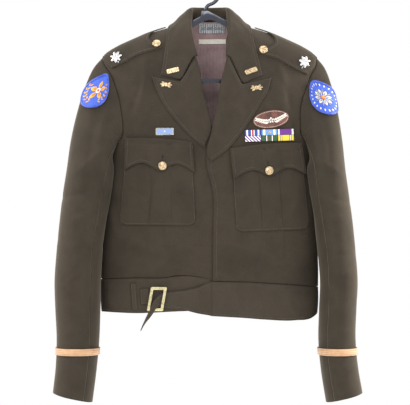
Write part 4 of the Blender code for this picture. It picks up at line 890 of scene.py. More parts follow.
def grid_into(bm, grid, heights, relief, weave):
    """Adds one grid to a mesh, with its heights and its map of lengths."""
    rows, columns = grid.shape[:2]
    across, down = lengths(grid, 1) * MM, lengths(grid, 0) * MM
    verts = bmesh.ops.create_grid(bm, x_segments=columns - 1, y_segments=rows - 1, size=1)["verts"]
    places = {}
    for vert in verts:
        column = round((vert.co.x + 1) / 2 * (columns - 1))
        row = round((vert.co.y + 1) / 2 * (rows - 1))
        vert.co = Vector(grid[row, column]) * MM
        vert[relief] = heights[row, column] * MM
        places[vert] = (across[row, column], -down[row, column])
    for face in {face for vert in verts for face in vert.link_faces}:
        for loop in face.loops:
            loop[weave].uv = places[loop.vert]
    return across.max(axis=1).max(), down.max(axis=0).max()


def face_away(bm, inside):
    """Turns all faces to look away from a point behind the cloth."""
    bm.normal_update()
    behind = Vector(inside) * MM
    facing = sum(f.normal.dot(f.calc_center_median() - behind) * f.calc_area() for f in bm.faces)
    if facing < 0:
        bmesh.ops.reverse_faces(bm, faces=bm.faces)
    bm.normal_update()


def finished(name, bm, material, smooth=True):
    """Turns a bmesh into an object that rides on the one body."""
    mesh = bpy.data.meshes.new(name)
    bm.to_mesh(mesh)
    bm.free()
    if smooth:
        mesh.shade_smooth()
    mesh.materials.append(material)
    obj = bpy.data.objects.new(name, mesh)
    bpy.context.scene.collection.objects.link(obj)
    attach(obj, "root")
    return obj


def dress(node, grids, material, inside, slot="wool", wall=CLOTH, name=None):
    """Stands a thin sheet of cloth in a solid piece's place, and says what it was cut from."""
    name = name or node
    bm = bmesh.new()
    relief = bm.verts.layers.float.new("relief")
    weave = bm.loops.layers.uv.new("weave")
    width = length = 0
    for grid in grids:
        heights = ruck_height(name, grid[..., 0], grid[..., 2])
        if name in SEWN_EDGES:
            heights = heights + edge_relief(grid, *SEWN_EDGES[name])
        across, down = grid_into(bm, grid, heights, relief, weave)
        width, length = width + across, max(length, down)
    bmesh.ops.remove_doubles(bm, verts=bm.verts, dist=JOIN)
    face_away(bm, inside)
    for vert in bm.verts:
        vert.co += vert.normal * vert[relief]
    bm.verts.layers.float.remove(relief)
    area = sum(face.calc_area() for face in bm.faces)
    obj = finished(f"{name}_cloth", bm, material)
    solid = obj.modifiers.new("wall", "SOLIDIFY")
    solid.thickness = wall * MM
    solid.offset = -1
    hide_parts(node)
    turned_in = max(SMALLEST_CUT - min(width, length), 0)
    width, length = width + (turned_in if width < length else 0), length + (0 if width < length else turned_in)
    area = min(max(area, 0.31 * width * length), width * length)
    CUTS[name] = (round(width * 1000), round(length * 1000), round(area * 1e4))
    GRIDS[name], SKINS[name] = grids[0], skin(obj)
    return SKINS[name]


# %% Laying pieces on the cloth
def skin(obj):
    """The outer face of a cloth piece, to lay other pieces on."""
    points = [v.co / MM for v in obj.data.vertices]
    return BVHTree.FromPolygons(points, [tuple(p.vertices) for p in obj.data.polygons])


def front_of(skins, x, level, start=-400.0):
    """The foremost point of some skins at a place seen from the front."""
    found = None
    for tree in skins:
        hit = tree.ray_cast(Vector((x, start, level)), Vector((0, 1, 0)))
        if hit[0] is not None and (found is None or hit[0].y < found[0].y):
            found = hit[:2]
    return found


def laid(skins, x, level, lift, reach=0.0, start=-400.0):
    """A point lifted off whatever lies under it, or within reach of it, seen from the front."""
    heights = []
    for dx, dz in ((0, 0), (reach, 0), (-reach, 0), (0, reach), (0, -reach)):
        found = front_of(skins, x + dx, level + dz, start)
        if found:
            heights.append(found[0].y)
    if not heights:
        heights = [skins[0].find_nearest(Vector((x, max(start, -100.0), level)))[0].y]
    return np.array([x, min(heights) - lift, level])


def seat(skins, x, level, gap, tilt=0.0, start=-400.0):
    """The matrix that sets a flat-backed piece on a skin, its own +Z facing out."""
    found = front_of(skins, x, level, start)
    if found is None:
        found = skins[0].find_nearest(Vector(body_base(pattern_angle(x, level), level)))[:2]
    point, normal = found
    across = Vector((1, 0, 0)) - normal * normal.x
    across.normalize()
    up = normal.cross(across)
    turn = Matrix((across, up, normal)).transposed().to_4x4()
    return Matrix.Translation((point + normal * gap) * MM) @ turn @ Matrix.Rotation(math.radians(tilt), 4, "Z")


print("tools for laying pieces are ready")

# %% [markdown]
# ## Fronts, back and lining
# The body is cut as two fronts and one back, sewn at the shoulders and the sides. The left front laps
# over the right one. Only a strip of the lining shows through the open neck, and it hangs a little
# loose, so it gets a few soft folds of its own.

# %% Panel shapes
def armhole(side, face):
    """The armhole's line from the shoulder tip to the armpit, as angle and level."""
    if face == "front":
        middle = on_front(ARMHOLE_FRONT[side]) + ARMPIT_FRONT[side]
    else:
        middle = on_back(ARMHOLE_BACK, side) + [(side * 118, -326), (side * 104, -334)]
    points = [(side * 90, TIP_LEVEL)] + middle + [(side * 90, ARMPIT_LEVEL)]
    return line_through(points, np.linspace(0, 1, SLEEVE_AROUND + 1), place=body_base)


def outer_border(side, face):
    """A panel's border from the shoulder tip down the armhole and side seam, with its rows' shares."""
    hole = armhole(side, face)
    foot_level = waist_at(side * 209, side * 90)[0]
    ends = [(side * 90, ARMPIT_LEVEL), (side * 90, foot_level)]
    side_seam = line_through(ends, np.linspace(0, 1, SIDE_ROWS + 1))
    near_tip = hole[0] + (hole[1] - hole[0]) * 0.1
    outer = np.vstack([hole[:1], near_tip, hole[1:], side_seam[1:]])
    down = np.concatenate([[0, 0.006], np.linspace(0, 1, len(outer) - 1)[1:]])
    return outer, down


def waist_border(start, end, across):
    """The foot of a panel, along the waist seam."""
    foot = np.array([start * (1 - u) + end * u for u in across])
    for point in foot[1:-1]:
        x = body_base(point[0], point[1])[0]
        point[1] = waist_at(x, point[0])[0]
    return foot


def on_body(grid, gap, lift=None):
    """Turns a grid of angles and levels into points, drawn back from the side seams by a gap."""
    points = np.zeros((*grid.shape[:2], 3))
    for row in range(grid.shape[0]):
        for column in range(grid.shape[1]):
            angle, level = grid[row, column]
            x = body_base(angle, level)[0]
            points[row, column] = body_point(angle, level, lift(x) if lift else 0)
            points[row, column][1] += gap
    return points


def front_inner(side):
    """The inner line of a front: neck, break line, then the front edge down to the waist."""
    line, edge = (BREAK_RIGHT, EDGE_RIGHT) if side == RIGHT else (BREAK_LEFT, EDGE_LEFT)
    last_x = edge[-1][0]
    foot = (last_x, waist_at(last_x, side * 5)[0])
    neck = [(side * 90, NECK_LEVEL), (side * 52, NECK_LEVEL - 4)]
    return neck + on_front(line + edge + [foot])


def front_panel(side, lift=None):
    """One front, between its inner line, the shoulder, the armhole and the waist."""
    outer, down = outer_border(side, "front")
    across = spread(FRONT_COLUMNS)
    start = line_through(front_inner(side), down, place=body_base)
    top = line_through([start[0], outer[0]], across, curved=False, place=body_base)
    foot = waist_border(start[-1], outer[-1], across)
    return on_body(filled(top, foot, start, outer, across, down), -SEAM / 2, lift)


def back_halves():
    """The two halves of the back's grid. They share the centre line below the neck."""
    halves = []
    for side in (LEFT, RIGHT):
        outer, down = outer_border(side, "back")
        across = spread(BACK_COLUMNS)
        neckline = [(side * 90, NECK_LEVEL), (side * 128, NECK_LEVEL - 1), (side * 180, BACK_NECK_LEVEL)]
        neck = line_through(neckline, NECK_SHARES, place=body_base)
        middle = [(side * 180, BACK_NECK_LEVEL), (side * 180, waist_at(0, 180)[0])]
        middle = line_through(middle, np.linspace(0, 1, len(outer) - len(neck) + 1))
        inner = np.vstack([neck, middle[1:]])
        top = line_through([inner[0], outer[0]], across, curved=False, place=body_base)
        foot = waist_border(inner[-1], outer[-1], across)
        halves.append(on_body(filled(top, foot, inner, outer, across, down), SEAM / 2))
    return [halves[0], halves[1][:, ::-1]]


def lining_grid(back):
    """Only the part of the lining that shows through the open neck."""
    rows = []
    for level in np.linspace(BACK_NECK_LEVEL - 1.5, LINING_FOOT, 13):
        reach = 33 + 42 * eased(-level, 85, 125)
        row = []
        for x in np.linspace(-reach, reach, 9):
            point = Vector(body_point(180 - pattern_angle(x, level), level))
            nearest, normal, _, _ = back.find_nearest(point)
            row.append(np.array(nearest - normal * LINING_DEPTH))
        rows.append(row)
    return np.array(rows)


# %% Body panels
FINE = 24
front_skins = {
    RIGHT: dress("front_right", [finer(front_panel(RIGHT), FINE)], WOOL, BODY_MIDDLE),
    LEFT: dress("front_left", [finer(front_panel(LEFT, overlap_lift), FINE)], WOOL, BODY_MIDDLE),
}
back_skin = dress("back", [finer(half, FINE) for half in back_halves()], WOOL, BODY_MIDDLE)
lining_skin = dress(
    "back_lining", [finer(lining_grid(back_skin), FINE)], SATIN, (0, 600, -200), "satin_lining", LINING
)
print("cuts so far (mm, mm, square cm):", CUTS)

# %% [markdown]
# ## Collar and lapels
# The collar stands up inside the neck, turns over a soft roll and lies flat on the shoulders. The lapel
# is the turned-back edge of the front, so it springs from the break line with a fuller roll and lies
# flatter toward its peak. Both are edge-stitched 6.5 mm in.

# %% Collar and lapels
def neck_point(share, side):
    """The neckline of the panels: from the centre back to the gorge."""
    if share < 0.5:
        line = [(180, BACK_NECK_LEVEL), (128, NECK_LEVEL - 1), (90, NECK_LEVEL)]
        angle, level = line_through(line, [share * 2], place=body_base)[0]
        return body_base(side * angle, level)
    break_line = BREAK_RIGHT if side == RIGHT else BREAK_LEFT
    line = [(90, NECK_LEVEL), (52, NECK_LEVEL - 4)]
    shown = [place for place in break_line if place[1] > GORGE_LEVEL + 5] + [LAPEL_GORGE[side][0]]
    line += [(abs(angle), level) for angle, level in on_front(shown)]
    angle, level = line_through(line, [share * 2 - 1], place=body_base)[0]
    point = body_base(side * angle, level)
    return point + np.array([0, -overlap_lift(point[0]) if side == LEFT else 0, 0])


def collar_section(share, side):
    """The points of one section, from the foot of the stand over the roll to the leaf's edge."""
    keyed = [(i / (len(COLLAR) - 1), *row) for i, row in enumerate(COLLAR)]
    values = smooth_row(keyed, share)
    roll, mid, edge = values[:3], values[3:6], values[6:9]
    sway = 4.0 * eased(share, 0.6, 1.0)
    roll, mid, edge = (np.array([side * p[0] + sway, p[1], p[2]]) for p in (roll, mid, edge))
    mid[2] -= side * 3.5 * eased(share, 0.8, 1.0)
    outward = (edge - roll) * (1, 1, 0)
    outward = outward / np.linalg.norm(outward)
    foot = neck_point(share, side)
    towards = roll - foot
    foot = foot + towards / np.linalg.norm(towards) * COLLAR_FOOT_GAP
    foot[0] -= side * COLLAR_FOOT_ASIDE * eased(share, 0.5, 0.6)
    foot = off_body(foot, COLLAR_FOOT_LIFT * eased(share, 0.85, 1)) if share > 0.85 else foot
    inner = roll - outward * ROLL_RADIUS * 0.9 - np.array([0, 0, ROLL_RADIUS * 1.1])
    outer = roll + outward * ROLL_RADIUS * 1.2 - np.array([0, 0, ROLL_RADIUS * 0.5])
    front_share = eased(share, 0.55, 0.8)
    inner = inner * (1 - front_share) + (foot * 0.35 + roll * 0.65 - outward * 1.0) * front_share
    between = (mid + edge) / 2
    before = (outer + mid) / 2
    return [foot, (foot + inner) / 2, inner, roll, outer, before, mid, between, edge]


def collar_grid():
    """One collar for both sides: the leaf lies on the fronts, the shoulders and the back."""
    rows = []
    shares = np.linspace(0, 1, COLLAR_ROWS)
    for side, order in ((RIGHT, shares[::-1]), (LEFT, shares[1:])):
        for share in order:
            section = collar_section(share, side)
            lifted = [off_body(p, lift) if lift else p for p, lift in zip(section, COLLAR_LIFTS)]
            rows.append(lifted)
    return np.array(rows)


def lapel_grid(side, front, rows=13, columns=7):
    """A lapel lies on its front, from the roll at the break line to its peaked edge."""
    break_line = BREAK_RIGHT if side == RIGHT else BREAK_LEFT
    gorge_start = LAPEL_GORGE[side][0]
    inner = [gorge_start] + [(x, level) for x, level in break_line if level < gorge_start[1] - 6]
    if side == LEFT:
        inner += EDGE_LEFT[:1]
    inner += [LAPEL_FOOT[side]]
    inner = [(x + side * LAPEL_ASIDE, level) for x, level in inner]
    down, across_shares = np.linspace(0, 1, rows + 1), np.linspace(0, 1, columns + 1)
    start = line_through(inner, down)
    end = line_through(LAPEL_OUTER[side], down)
    top = line_through([inner[0]] + LAPEL_GORGE[side][1:], across_shares, curved=False)
    foot = line_through([start[-1], end[-1]], across_shares, curved=False)
    grid = filled(top, foot, start, end, across_shares, down)
    points = np.zeros((*grid.shape[:2], 3))
    for row in range(rows + 1):
        for column in range(columns + 1):
            across = column / columns
            roll = LAPEL_ROLL * math.sin(math.pi * min(across * 3.2, 1) / 2) * (1 - eased(across, 0.1, 1))
            roll *= 1 - 0.75 * eased(row / rows, 0.75, 1)
            x, level = grid[row, column]
            points[row, column] = laid([front], x, level, CLEAR + CLOTH + roll, reach=3.0)
    return points


dress("collar", [finer(collar_grid(), FINE)], WOOL, (0, 0, -180), wall=COLLAR_WALL)
for side in (RIGHT, LEFT):
    name = SIDE_NAME[side]
    grid = finer(lapel_grid(side, front_skins[side], rows=39, columns=14), 4)
    dress(f"lapel_{name}", [grid], WOOL, (0, 0, -260))
print("collar and lapels:", CUTS["collar"], CUTS["lapel_left"], CUTS["lapel_right"])

# %% [markdown]
# ## Sleeves and cuff braid
# A tailored sleeve is two cut pieces, a wide one outside and a narrow one next to the body, with a seam
# down the front and one behind the elbow. It is set into the armhole with a little fullness, and it
# breaks into rucks where the arm bends. A flat braid runs round it above the cuff.

# %% Sleeve shapes
def clear_of_body(point):
    """Moves a sleeve's point out to where the cloth would lie against the body."""
    half_width, front, back = smooth_row(BODY, point[2])
    depth = (front + 7) if point[1] < 0 else (back + 6)
    width = half_width + 4
    fill = (abs(point[0]) / width) ** ROUNDNESS + (abs(point[1]) / depth) ** ROUNDNESS
    if fill >= 1:
        return point
    grow = (1 / fill) ** (1 / ROUNDNESS)
    return np.array([point[0] * grow, point[1] * grow, point[2]])


def crease_depth(level, turn):
    """The crumples of a sleeve at one place of it."""
    depth = 0
    for crease in CREASES:
        along = (level - crease.level - 40 * (turn - crease.turn)) / crease.half_height
        around = (turn - crease.turn) / crease.half_turn
        depth += crease.depth * math.exp(-(along**2) - around**2)
    return depth


def sleeve_ring(side, level, turn):
    """A point of the hanging sleeve. Turn 0 is its outer side, 0.25 its front, 0.5 its inner side."""
    inner, outer, front, back = smooth_row(SLEEVE[side], level)
    angle = 2 * math.pi * turn
    crumple = crease_depth(level, turn)
    half_width = (outer - inner) / 2 + crumple
    half_depth = (back - front) / 2 + crumple
    power = 0.92
    cosine, sine = math.cos(angle), math.sin(angle)
    x = (outer + inner) / 2 + half_width * math.copysign(abs(cosine) ** power, cosine)
    y = (front + back) / 2 - half_depth * math.copysign(abs(sine) ** power, sine)
    return clear_of_body(np.array([side * x, y, level]))


def sleeve_line(side, turn, start):
    """One line down the sleeve, from its point on the armhole to the cuff."""
    top_level = SLEEVE[side][0].level
    end = sleeve_ring(side, top_level, turn)
    outwards = (1 + math.cos(2 * math.pi * turn)) / 2
    leave = np.array([side * (0.25 + 0.6 * outwards), 0, -0.95 + 0.4 * outwards])
    leave = leave * (45 + 75 * outwards)
    arrive = np.array([side * 0.08, 0, -1]) * (30 + 150 * outwards)
    points = []
    for i in range(CAP_ROWS):
        t = (i / CAP_ROWS) ** 1.15
        point = (
            (2 * t**3 - 3 * t**2 + 1) * start
            + (t**3 - 2 * t**2 + t) * leave
            + (3 * t**2 - 2 * t**3) * end
            + (t**3 - t**2) * arrive
        )
        points.append(clear_of_body(point) if i and point[2] < -300 else point)
    cuff = SLEEVE[side][-1].level
    for i in range(ARM_ROWS + 1):
        level = top_level + (cuff - top_level) * i / ARM_ROWS
        point = sleeve_ring(side, level, turn)
        point[2] += CUFF_RISE * math.cos(2 * math.pi * turn) * (i / ARM_ROWS) ** 4
        points.append(point)
    return points


def armhole_loop(side):
    """The whole armhole as points: down the front, up the back, just outside the body's edges."""
    loop = []
    for face in ("front", "back"):
        line = armhole(side, face)
        points = [body_base(angle, level) for angle, level in line]
        if face == "front" and side == LEFT:
            points = [p + np.array([0, -overlap_lift(p[0]), 0]) for p in points]
        loop += points if face == "front" else points[::-1][1:]
    return loop


def sleeve_grid(side, turn_from, turn_to):
    """One piece of a sleeve between its two seams. Beside a seam both pieces lie in one plane."""
    steps = 2 * SLEEVE_AROUND
    loop = np.array(armhole_loop(side))
    even = np.arange(-steps, 2 * steps + 1) / steps

    def line_at(turn):
        wrapped = turn % 1
        start = np.array([np.interp(wrapped, np.arange(steps + 1) / steps, loop[:, i]) for i in range(3)])
        lift = SLEEVE_OFF_FRONT if start[1] < 0 else SLEEVE_OFF_BACK
        start = off_body(start + np.array([side * SLEEVE_ASIDE, 0, 0]), lift)
        return np.array(sleeve_line(side, wrapped, start))

    between = [line_at(turn) for turn in even[(even > turn_from + 0.02) & (even < turn_to - 0.02)]]
    seams = [(line_at(turn - SLEEVE_HEM) + line_at(turn + SLEEVE_HEM)) / 2 for turn in (turn_from, turn_to)]
    lines = [seams[0], line_at(turn_from + SLEEVE_HEM), *between, line_at(turn_to - SLEEVE_HEM), seams[1]]
    return parted(np.array(lines).transpose(1, 0, 2))


def sleeve_middle(side):
    """A point inside the sleeve, at the elbow."""
    inner, outer, front, back = smooth_row(SLEEVE[side], ELBOW_LEVEL)
    return (side * (inner + outer) / 2, (front + back) / 2, ELBOW_LEVEL)


def parted(grid):
    """Draws both long edges back by half a seam's gap."""
    grid = grid.copy()
    for edge, beside in ((0, 1), (-1, -2)):
        step = grid[:, beside] - grid[:, edge]
        length = np.linalg.norm(step, axis=1, keepdims=True)
        grid[:, edge] += step / length * SLEEVE_SEAM_HALF
    return grid


def braid_grid(side):
    """A flat braid round the cuff."""
    steps = 2 * SLEEVE_AROUND
    rows = []
    for level in (BRAID_LEVEL + BRAID_HEIGHT / 2, BRAID_LEVEL - BRAID_HEIGHT / 2):
        ring = [sleeve_ring(side, level, (i % steps) / steps) for i in range(steps + 1)]
        centre = np.mean(ring[:-1], axis=0)
        rows.append([p + (p - centre) / np.linalg.norm(p - centre) * BRAID_LIFT for p in ring])
    return np.array(rows)


# %% Sleeves
TUCK_IN, TUCK_UNDER = 5.0, 3.4


def tucked(grid, side):
    """Adds the seam allowance at a sleeve's top, turned in under the body's cloth."""
    first = grid[0]
    onto = np.array([off_body(p - np.array([side * TUCK_IN, 0, 0]), 0) for p in first])
    towards = np.array([[0, 1.0 if p[1] < 0 else -1.0, 0] for p in first])
    under = onto + towards * TUCK_UNDER
    near = first + towards * (TUCK_UNDER - 1.2)
    return np.concatenate([under[None], near[None], grid])


front_seam, back_seam = SLEEVE_SEAMS
sleeve_skins = {}
for side in (RIGHT, LEFT):
    name, middle = SIDE_NAME[side], sleeve_middle(side)
    top = tucked(finer(sleeve_grid(side, back_seam - 1, front_seam), FINE), side)
    sleeve_skins[side] = dress(f"sleeve_{name}_top", [top], WOOL, middle)
    under = tucked(finer(sleeve_grid(side, front_seam, back_seam), FINE), side)
    dress(f"sleeve_{name}_under", [under], WOOL, middle)
    braid = finer(braid_grid(side), FINE)
    inside = np.mean(braid[0], axis=0)
    dress(f"cuff_braid_{name}", [braid], BRAID, inside, "gold_braid", BRAID_WALL)
print("sleeves:", CUTS["sleeve_left_top"], CUTS["sleeve_left_under"], "braid:", CUTS["cuff_braid_left"])

# %% [markdown]
# ## Waistband and tab
# The band is a folded strip that draws the jacket in. It comes in three stretches, and its right front
# end runs as a pointed tab behind the buckle's bar and out over its lower edge, where it stands free.

# %% Waistband
def band_grid(angle_from, angle_to, columns, lift=None):
    """A stretch of the waistband between two angles."""
    points = []
    for v in np.linspace(0, 1, BAND_ROWS + 1):
        row = []
        for u in spread(columns):
            angle = angle_from + (angle_to - angle_from) * u
            x = body_base(angle, BAND_LEVEL)[0]
            seam, hem = waist_at(x, angle if abs(angle) <= 90 else 180)
            seam -= BAND_DROP
            level = seam + (hem - seam) * v
            bulge = BAND_BULGE * math.sin(math.pi * v)
            row.append(body_point(angle, level, bulge + (lift(x) if lift else 0)))
        points.append(row)
    return np.array(points)


def lapped(x):
    """How far the left band stands out over the right one."""
    return overlap_lift(x) * 1.25


def band_grids():
    """Right, left and back bands. The left one laps over the right at the centre."""
    side_angle = 90 - BAND_SEAM_ANGLE
    right_end, left_end = (pattern_angle(x, BAND_LEVEL) for x in BAND_ENDS)
    return {
        "right": band_grid(-side_angle, right_end, 16),
        "left": band_grid(left_end, side_angle, 14, lapped),
        "back": band_grid(180 - side_angle, 180 + side_angle, 20),
    }


def tab_grid(band, rows=4):
    """The band's pointed tab: behind the buckle's bar, then out over its lower edge."""
    grid = []
    for across in TAB_STATIONS:
        top, foot, lift_top, lift_foot = smooth_row(TAB, across)
        row = []
        for v in np.linspace(0, 1, rows + 1):
            level = top + (foot - top) * v
            lift = lift_top + (lift_foot - lift_top) * v
            point = laid([band], across, max(level, TAB_ON_BAND), lift + TAB_LIFT)
            row.append(np.array([point[0], point[1], level]))
        grid.append(row)
    return np.array(grid)


BAND_TUCK = 6.0


def tucked_band(grid):
    """Adds the seam allowance at a band's top, turned in behind the body's cloth."""
    inwards = np.stack([grid[0, :, 0], grid[0, :, 1] * 3, 0 * grid[0, :, 2]], axis=1)
    inwards = inwards / np.linalg.norm(inwards, axis=1, keepdims=True)
    near = grid[0] - inwards * 2.2
    under = near - inwards * 1.2 + np.array([0, 0, BAND_TUCK])
    return np.concatenate([under[None], near[None], grid])


band_shapes = {name: tucked_band(finer(grid, FINE)) for name, grid in band_grids().items()}
band_skins = {
    name: dress(f"waist_band_{name}", [grid], WOOL_LIGHTER, (0, 0, BAND_LEVEL), wall=BAND_WALL)
    for name, grid in band_shapes.items()
}
left_end = band_shapes["left"][2:, 0]
root = [left_end[round(share * (len(left_end) - 1))] for share in np.linspace(0, 1, 17)]
tab_shape = finer(np.concatenate([[root], tab_grid(band_skins["right"], rows=16)]), 8)
dress("waist_tab", [tab_shape], WOOL_LIGHTER, (0, 400, BAND_LEVEL), wall=TAB_WALL)
print("bands:", {name: CUTS[f"waist_band_{name}"] for name in band_skins}, "tab:", CUTS["waist_tab"])

# %% [markdown]
# ## Pockets, flaps and shoulder straps
# A patch pocket is cut a little full and carries a box pleat, and its flap comes to a point over the
# button. The strap is a long tab that is sewn into the sleeve's seam and buttons by the collar. They
# are laid on the fine sheet under them, so that they follow its creases.

# %% Pockets, flaps and straps
def corner_rise(share, width, radius):
    """How far the foot of a pocket rises to round its two corners."""
    edge = min(share, 1 - share) * width
    if edge >= radius:
        return 0
    return radius - math.sqrt(max(radius**2 - (radius - edge) ** 2, 0))


def pocket_grid(side, front, refine=1, rows=9):
    """A patch pocket, a little full, with a box pleat down its middle."""
    pocket = POCKETS[side]
    width = abs(pocket.foot_out[0] - pocket.foot_in[0])
    pleat_from = (pocket.pleat_in[0] - pocket.top_in[0]) / (pocket.top_out[0] - pocket.top_in[0])
    pleat_to = (pocket.pleat_out[0] - pocket.top_in[0]) / (pocket.top_out[0] - pocket.top_in[0])
    step = 0.012
    shares = [0, 0.03, 0.07, 0.14, 0.22, pleat_from - step, pleat_from + step, (pleat_from + pleat_to) / 2]
    shares += [pleat_to - step, pleat_to + step, 0.78, 0.86, 0.93, 0.97, 1]
    steps = np.arange(len(shares))
    shares = np.interp(np.arange(steps[-1] * refine + 1) / refine, steps, sorted(shares))
    points = []
    for v in np.linspace(0, 1, rows + 1):
        row = []
        for u in shares:
            x_top = pocket.top_in[0] + (pocket.top_out[0] - pocket.top_in[0]) * u
            x_foot = pocket.foot_in[0] + (pocket.foot_out[0] - pocket.foot_in[0]) * u
            z_top = pocket.top_in[1] + (pocket.top_out[1] - pocket.top_in[1]) * u
            z_foot = pocket.foot_in[1] + (pocket.foot_out[1] - pocket.foot_in[1]) * u
            z_foot += corner_rise(u, width, POCKET_CORNER)
            pleat = PLEAT_RAISE * eased(u, pleat_from - step, pleat_from + step)
            pleat *= 1 - eased(u, pleat_to - step, pleat_to + step)
            full = POCKET_FULL * math.sin(math.pi * u) ** 0.7 * math.sin(math.pi * min(v * 0.9 + 0.1, 1))
            lift = CLEAR + POCKET_WALL + pleat * (1 - eased(v, 0.93, 1)) + full
            x, level = x_top + (x_foot - x_top) * v, z_top + (z_foot - z_top) * v
            row.append(laid([front], x, level, lift, reach=2))
        points.append(row)
    return np.array(points)


def flap_grid(side, under, rows=5, columns=16):
    """A pocket flap with a point over the button and a scallop on each side of it."""
    top_in, top_out, foot_in, foot_out = FLAPS[side]
    points = []
    for v in np.linspace(0, 1, rows + 1):
        row = []
        for u in np.linspace(0, 1, columns + 1):
            x_top = top_in[0] + (top_out[0] - top_in[0]) * u
            x_foot = foot_in[0] + (foot_out[0] - foot_in[0]) * u
            z_top = top_in[1] + (top_out[1] - top_in[1]) * u + FLAP_RISE * math.sin(math.pi * u)
            z_foot = foot_in[1] + (foot_out[1] - foot_in[1]) * u
            z_foot += FLAP_SCALLOP * abs(math.sin(2 * math.pi * u)) ** 1.3
            x, level = x_top + (x_foot - x_top) * v, z_top + (z_foot - z_top) * v
            row.append(laid(under, x, level, FLAP_OFF, reach=6))
        points.append(row)
    return np.array(points)


def strap_grid(side):
    """A shoulder strap, laid over the front of the shoulder from the sleeve to the collar."""
    edge = line_through(STRAP_EDGE[side], np.linspace(0, 1, 13))
    rows = []
    for i, (x, level) in enumerate(edge):
        front_angle = abs(pattern_angle(x, level))
        ridge_level = ridge(abs(x) + STRAP_LEAN * (1 - 1.5 * eased(i, 4, len(edge) - 1)))
        row = []
        for t in np.linspace(0, 1, 6):
            angle = front_angle + (STRAP_TOP_ANGLE - front_angle) * t
            row.append(body_point(side * angle, level + (ridge_level - level) * t, STRAP_OFF))
        rows.append(row)
    return np.array(rows)


def plate_grid(plate, skins, off, columns=6, rows=3, oval=False, start=-400.0):
    """A thin flat piece laid on the cloth, bent as the cloth is. off is how far its face stands off it."""
    tilt = math.radians(plate.tilt)
    points = []
    for v in np.linspace(1, -1, rows + 1):
        row = []
        for u in np.linspace(-1, 1, columns + 1):
            wide, high = (math.sqrt(1 - v * v / 2), math.sqrt(1 - u * u / 2)) if oval else (1, 1)
            across, up = u * wide * plate.width / 2, v * high * plate.height / 2
            x = plate.across + across * math.cos(tilt) - up * math.sin(tilt)
            level = plate.level + across * math.sin(tilt) + up * math.cos(tilt)
            row.append(laid(skins, x, level, off, reach=1.5, start=start))
        points.append(row)
    return np.array(points)


for side in (RIGHT, LEFT):
    name, front = SIDE_NAME[side], front_skins[side]
    pocket = pocket_grid(side, front, refine=4, rows=54)
    pocket_skin = dress(f"pocket_{name}", [pocket], WOOL, (0, 400, -400), wall=POCKET_WALL)
    flap = flap_grid(side, [front, pocket_skin], rows=24, columns=64)
    dress(f"pocket_flap_{name}", [flap], WOOL, (0, 400, -340))
    strap = finer(strap_grid(side), FINE)
    dress(f"shoulder_strap_{name}", [strap], WOOL, (side * 150, 0, -320))
print("pocket, flap and strap:", CUTS["pocket_left"], CUTS["pocket_flap_left"], CUTS["shoulder_strap_left"])


# %% [markdown]
# ## Shapes laid on the cloth
# Pins, buttons and embroidery are small raised shapes. Each is drawn flat as a closed outline, raised in
# a few steps that shrink it toward its middle, and then carried onto the jacket by a rule that turns a
# flat place and a height into a point: a flat seat for metal, or the bent face of a patch.

# %% Raised shapes
def raised(bm, outline, steps, lift=0.0, crown=0.0):
    """Raises a closed outline in steps of (scale, height), with its own middle as the centre."""
    middle = Vector((sum(x for x, _ in outline) / len(outline), sum(y for _, y in outline) / len(outline), 0))
    verts = [bm.verts.new((x, y, lift)) for x, y in outline]
    face = bm.faces.new(verts)
    made_verts, before = list(verts), 1.0
    for scale, height in steps:
        made = bmesh.ops.extrude_face_region(bm, geom=[face])["geom"]
        face = next(g for g in made if isinstance(g, bmesh.types.BMFace))
        for vert in face.verts:
            vert.co = middle + (vert.co - middle) * (scale / before)
            vert.co.z = lift + height
            made_verts.append(vert)
        before = scale
    if crown:
        poked = bmesh.ops.poke(bm, faces=[face])["verts"]
        poked[0].co.z = lift + steps[-1][1] + crown
        made_verts += poked
    return made_verts


def on_seat(matrix):
    """A rule that carries a flat place and height onto a flat seat."""
    return lambda x, y, z: matrix @ Vector((x * MM, y * MM, z * MM))


def on_face(tree, centre, tilt=0.0, start=-400.0):
    """A rule that carries a flat place and height onto the cloth seen from the front."""
    cosine, sine = math.cos(math.radians(tilt)), math.sin(math.radians(tilt))

    def carry(x, y, z):
        across, level = centre[0] + x * cosine - y * sine, centre[1] + x * sine + y * cosine
        point, normal = front_of([tree], across, level, start) or tree.find_nearest(Vector((across, start, level)))[:2]
        return (point + normal * z) * MM

    return carry


def shape_object(name, shapes, carry, material, node=None, smooth=False):
    """Makes one object of raised shapes, each given as (outline, steps, lift, crown)."""
    bm = bmesh.new()
    for outline, steps, lift, crown in shapes:
        raised(bm, outline, steps, lift, crown)
    for vert in bm.verts:
        vert.co = carry(*vert.co)
    bmesh.ops.recalc_face_normals(bm, faces=bm.faces)
    obj = finished(name, bm, material, smooth)
    if node:
        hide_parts(node)
    return obj


def rectangle(width, height, corner=0.0, steps=3):
    """The outline of a rectangle, with round corners where a radius is given."""
    if not corner:
        x, y = width / 2, height / 2
        return [(-x, -y), (x, -y), (x, y), (-x, y)]
    points = []
    for quarter, (sx, sy) in enumerate(((1, 1), (-1, 1), (-1, -1), (1, -1))):
        cx, cy = sx * (width / 2 - corner), sy * (height / 2 - corner)
        for i in range(steps + 1):
            angle = math.pi / 2 * (quarter + i / steps)
            points.append((cx + corner * math.cos(angle), cy + corner * math.sin(angle)))
    return points


def leaning(outline, degrees):
    """Leans an outline over to one side, keeping its level lines level."""
    slope = math.tan(math.radians(degrees))
    return [(x + y * slope, y) for x, y in outline]


def lobed_leaf(radius, lobes=7, count=56):
    """A broad leaf with rounded lobes, as a closed outline."""
    turns = np.linspace(0, 2 * math.pi, count, endpoint=False)
    reach = [radius * (0.8 + 0.2 * math.cos(lobes * (turn - math.pi / 2))) for turn in turns]
    return [(r * math.cos(turn), r * math.sin(turn)) for r, turn in zip(reach, turns)]


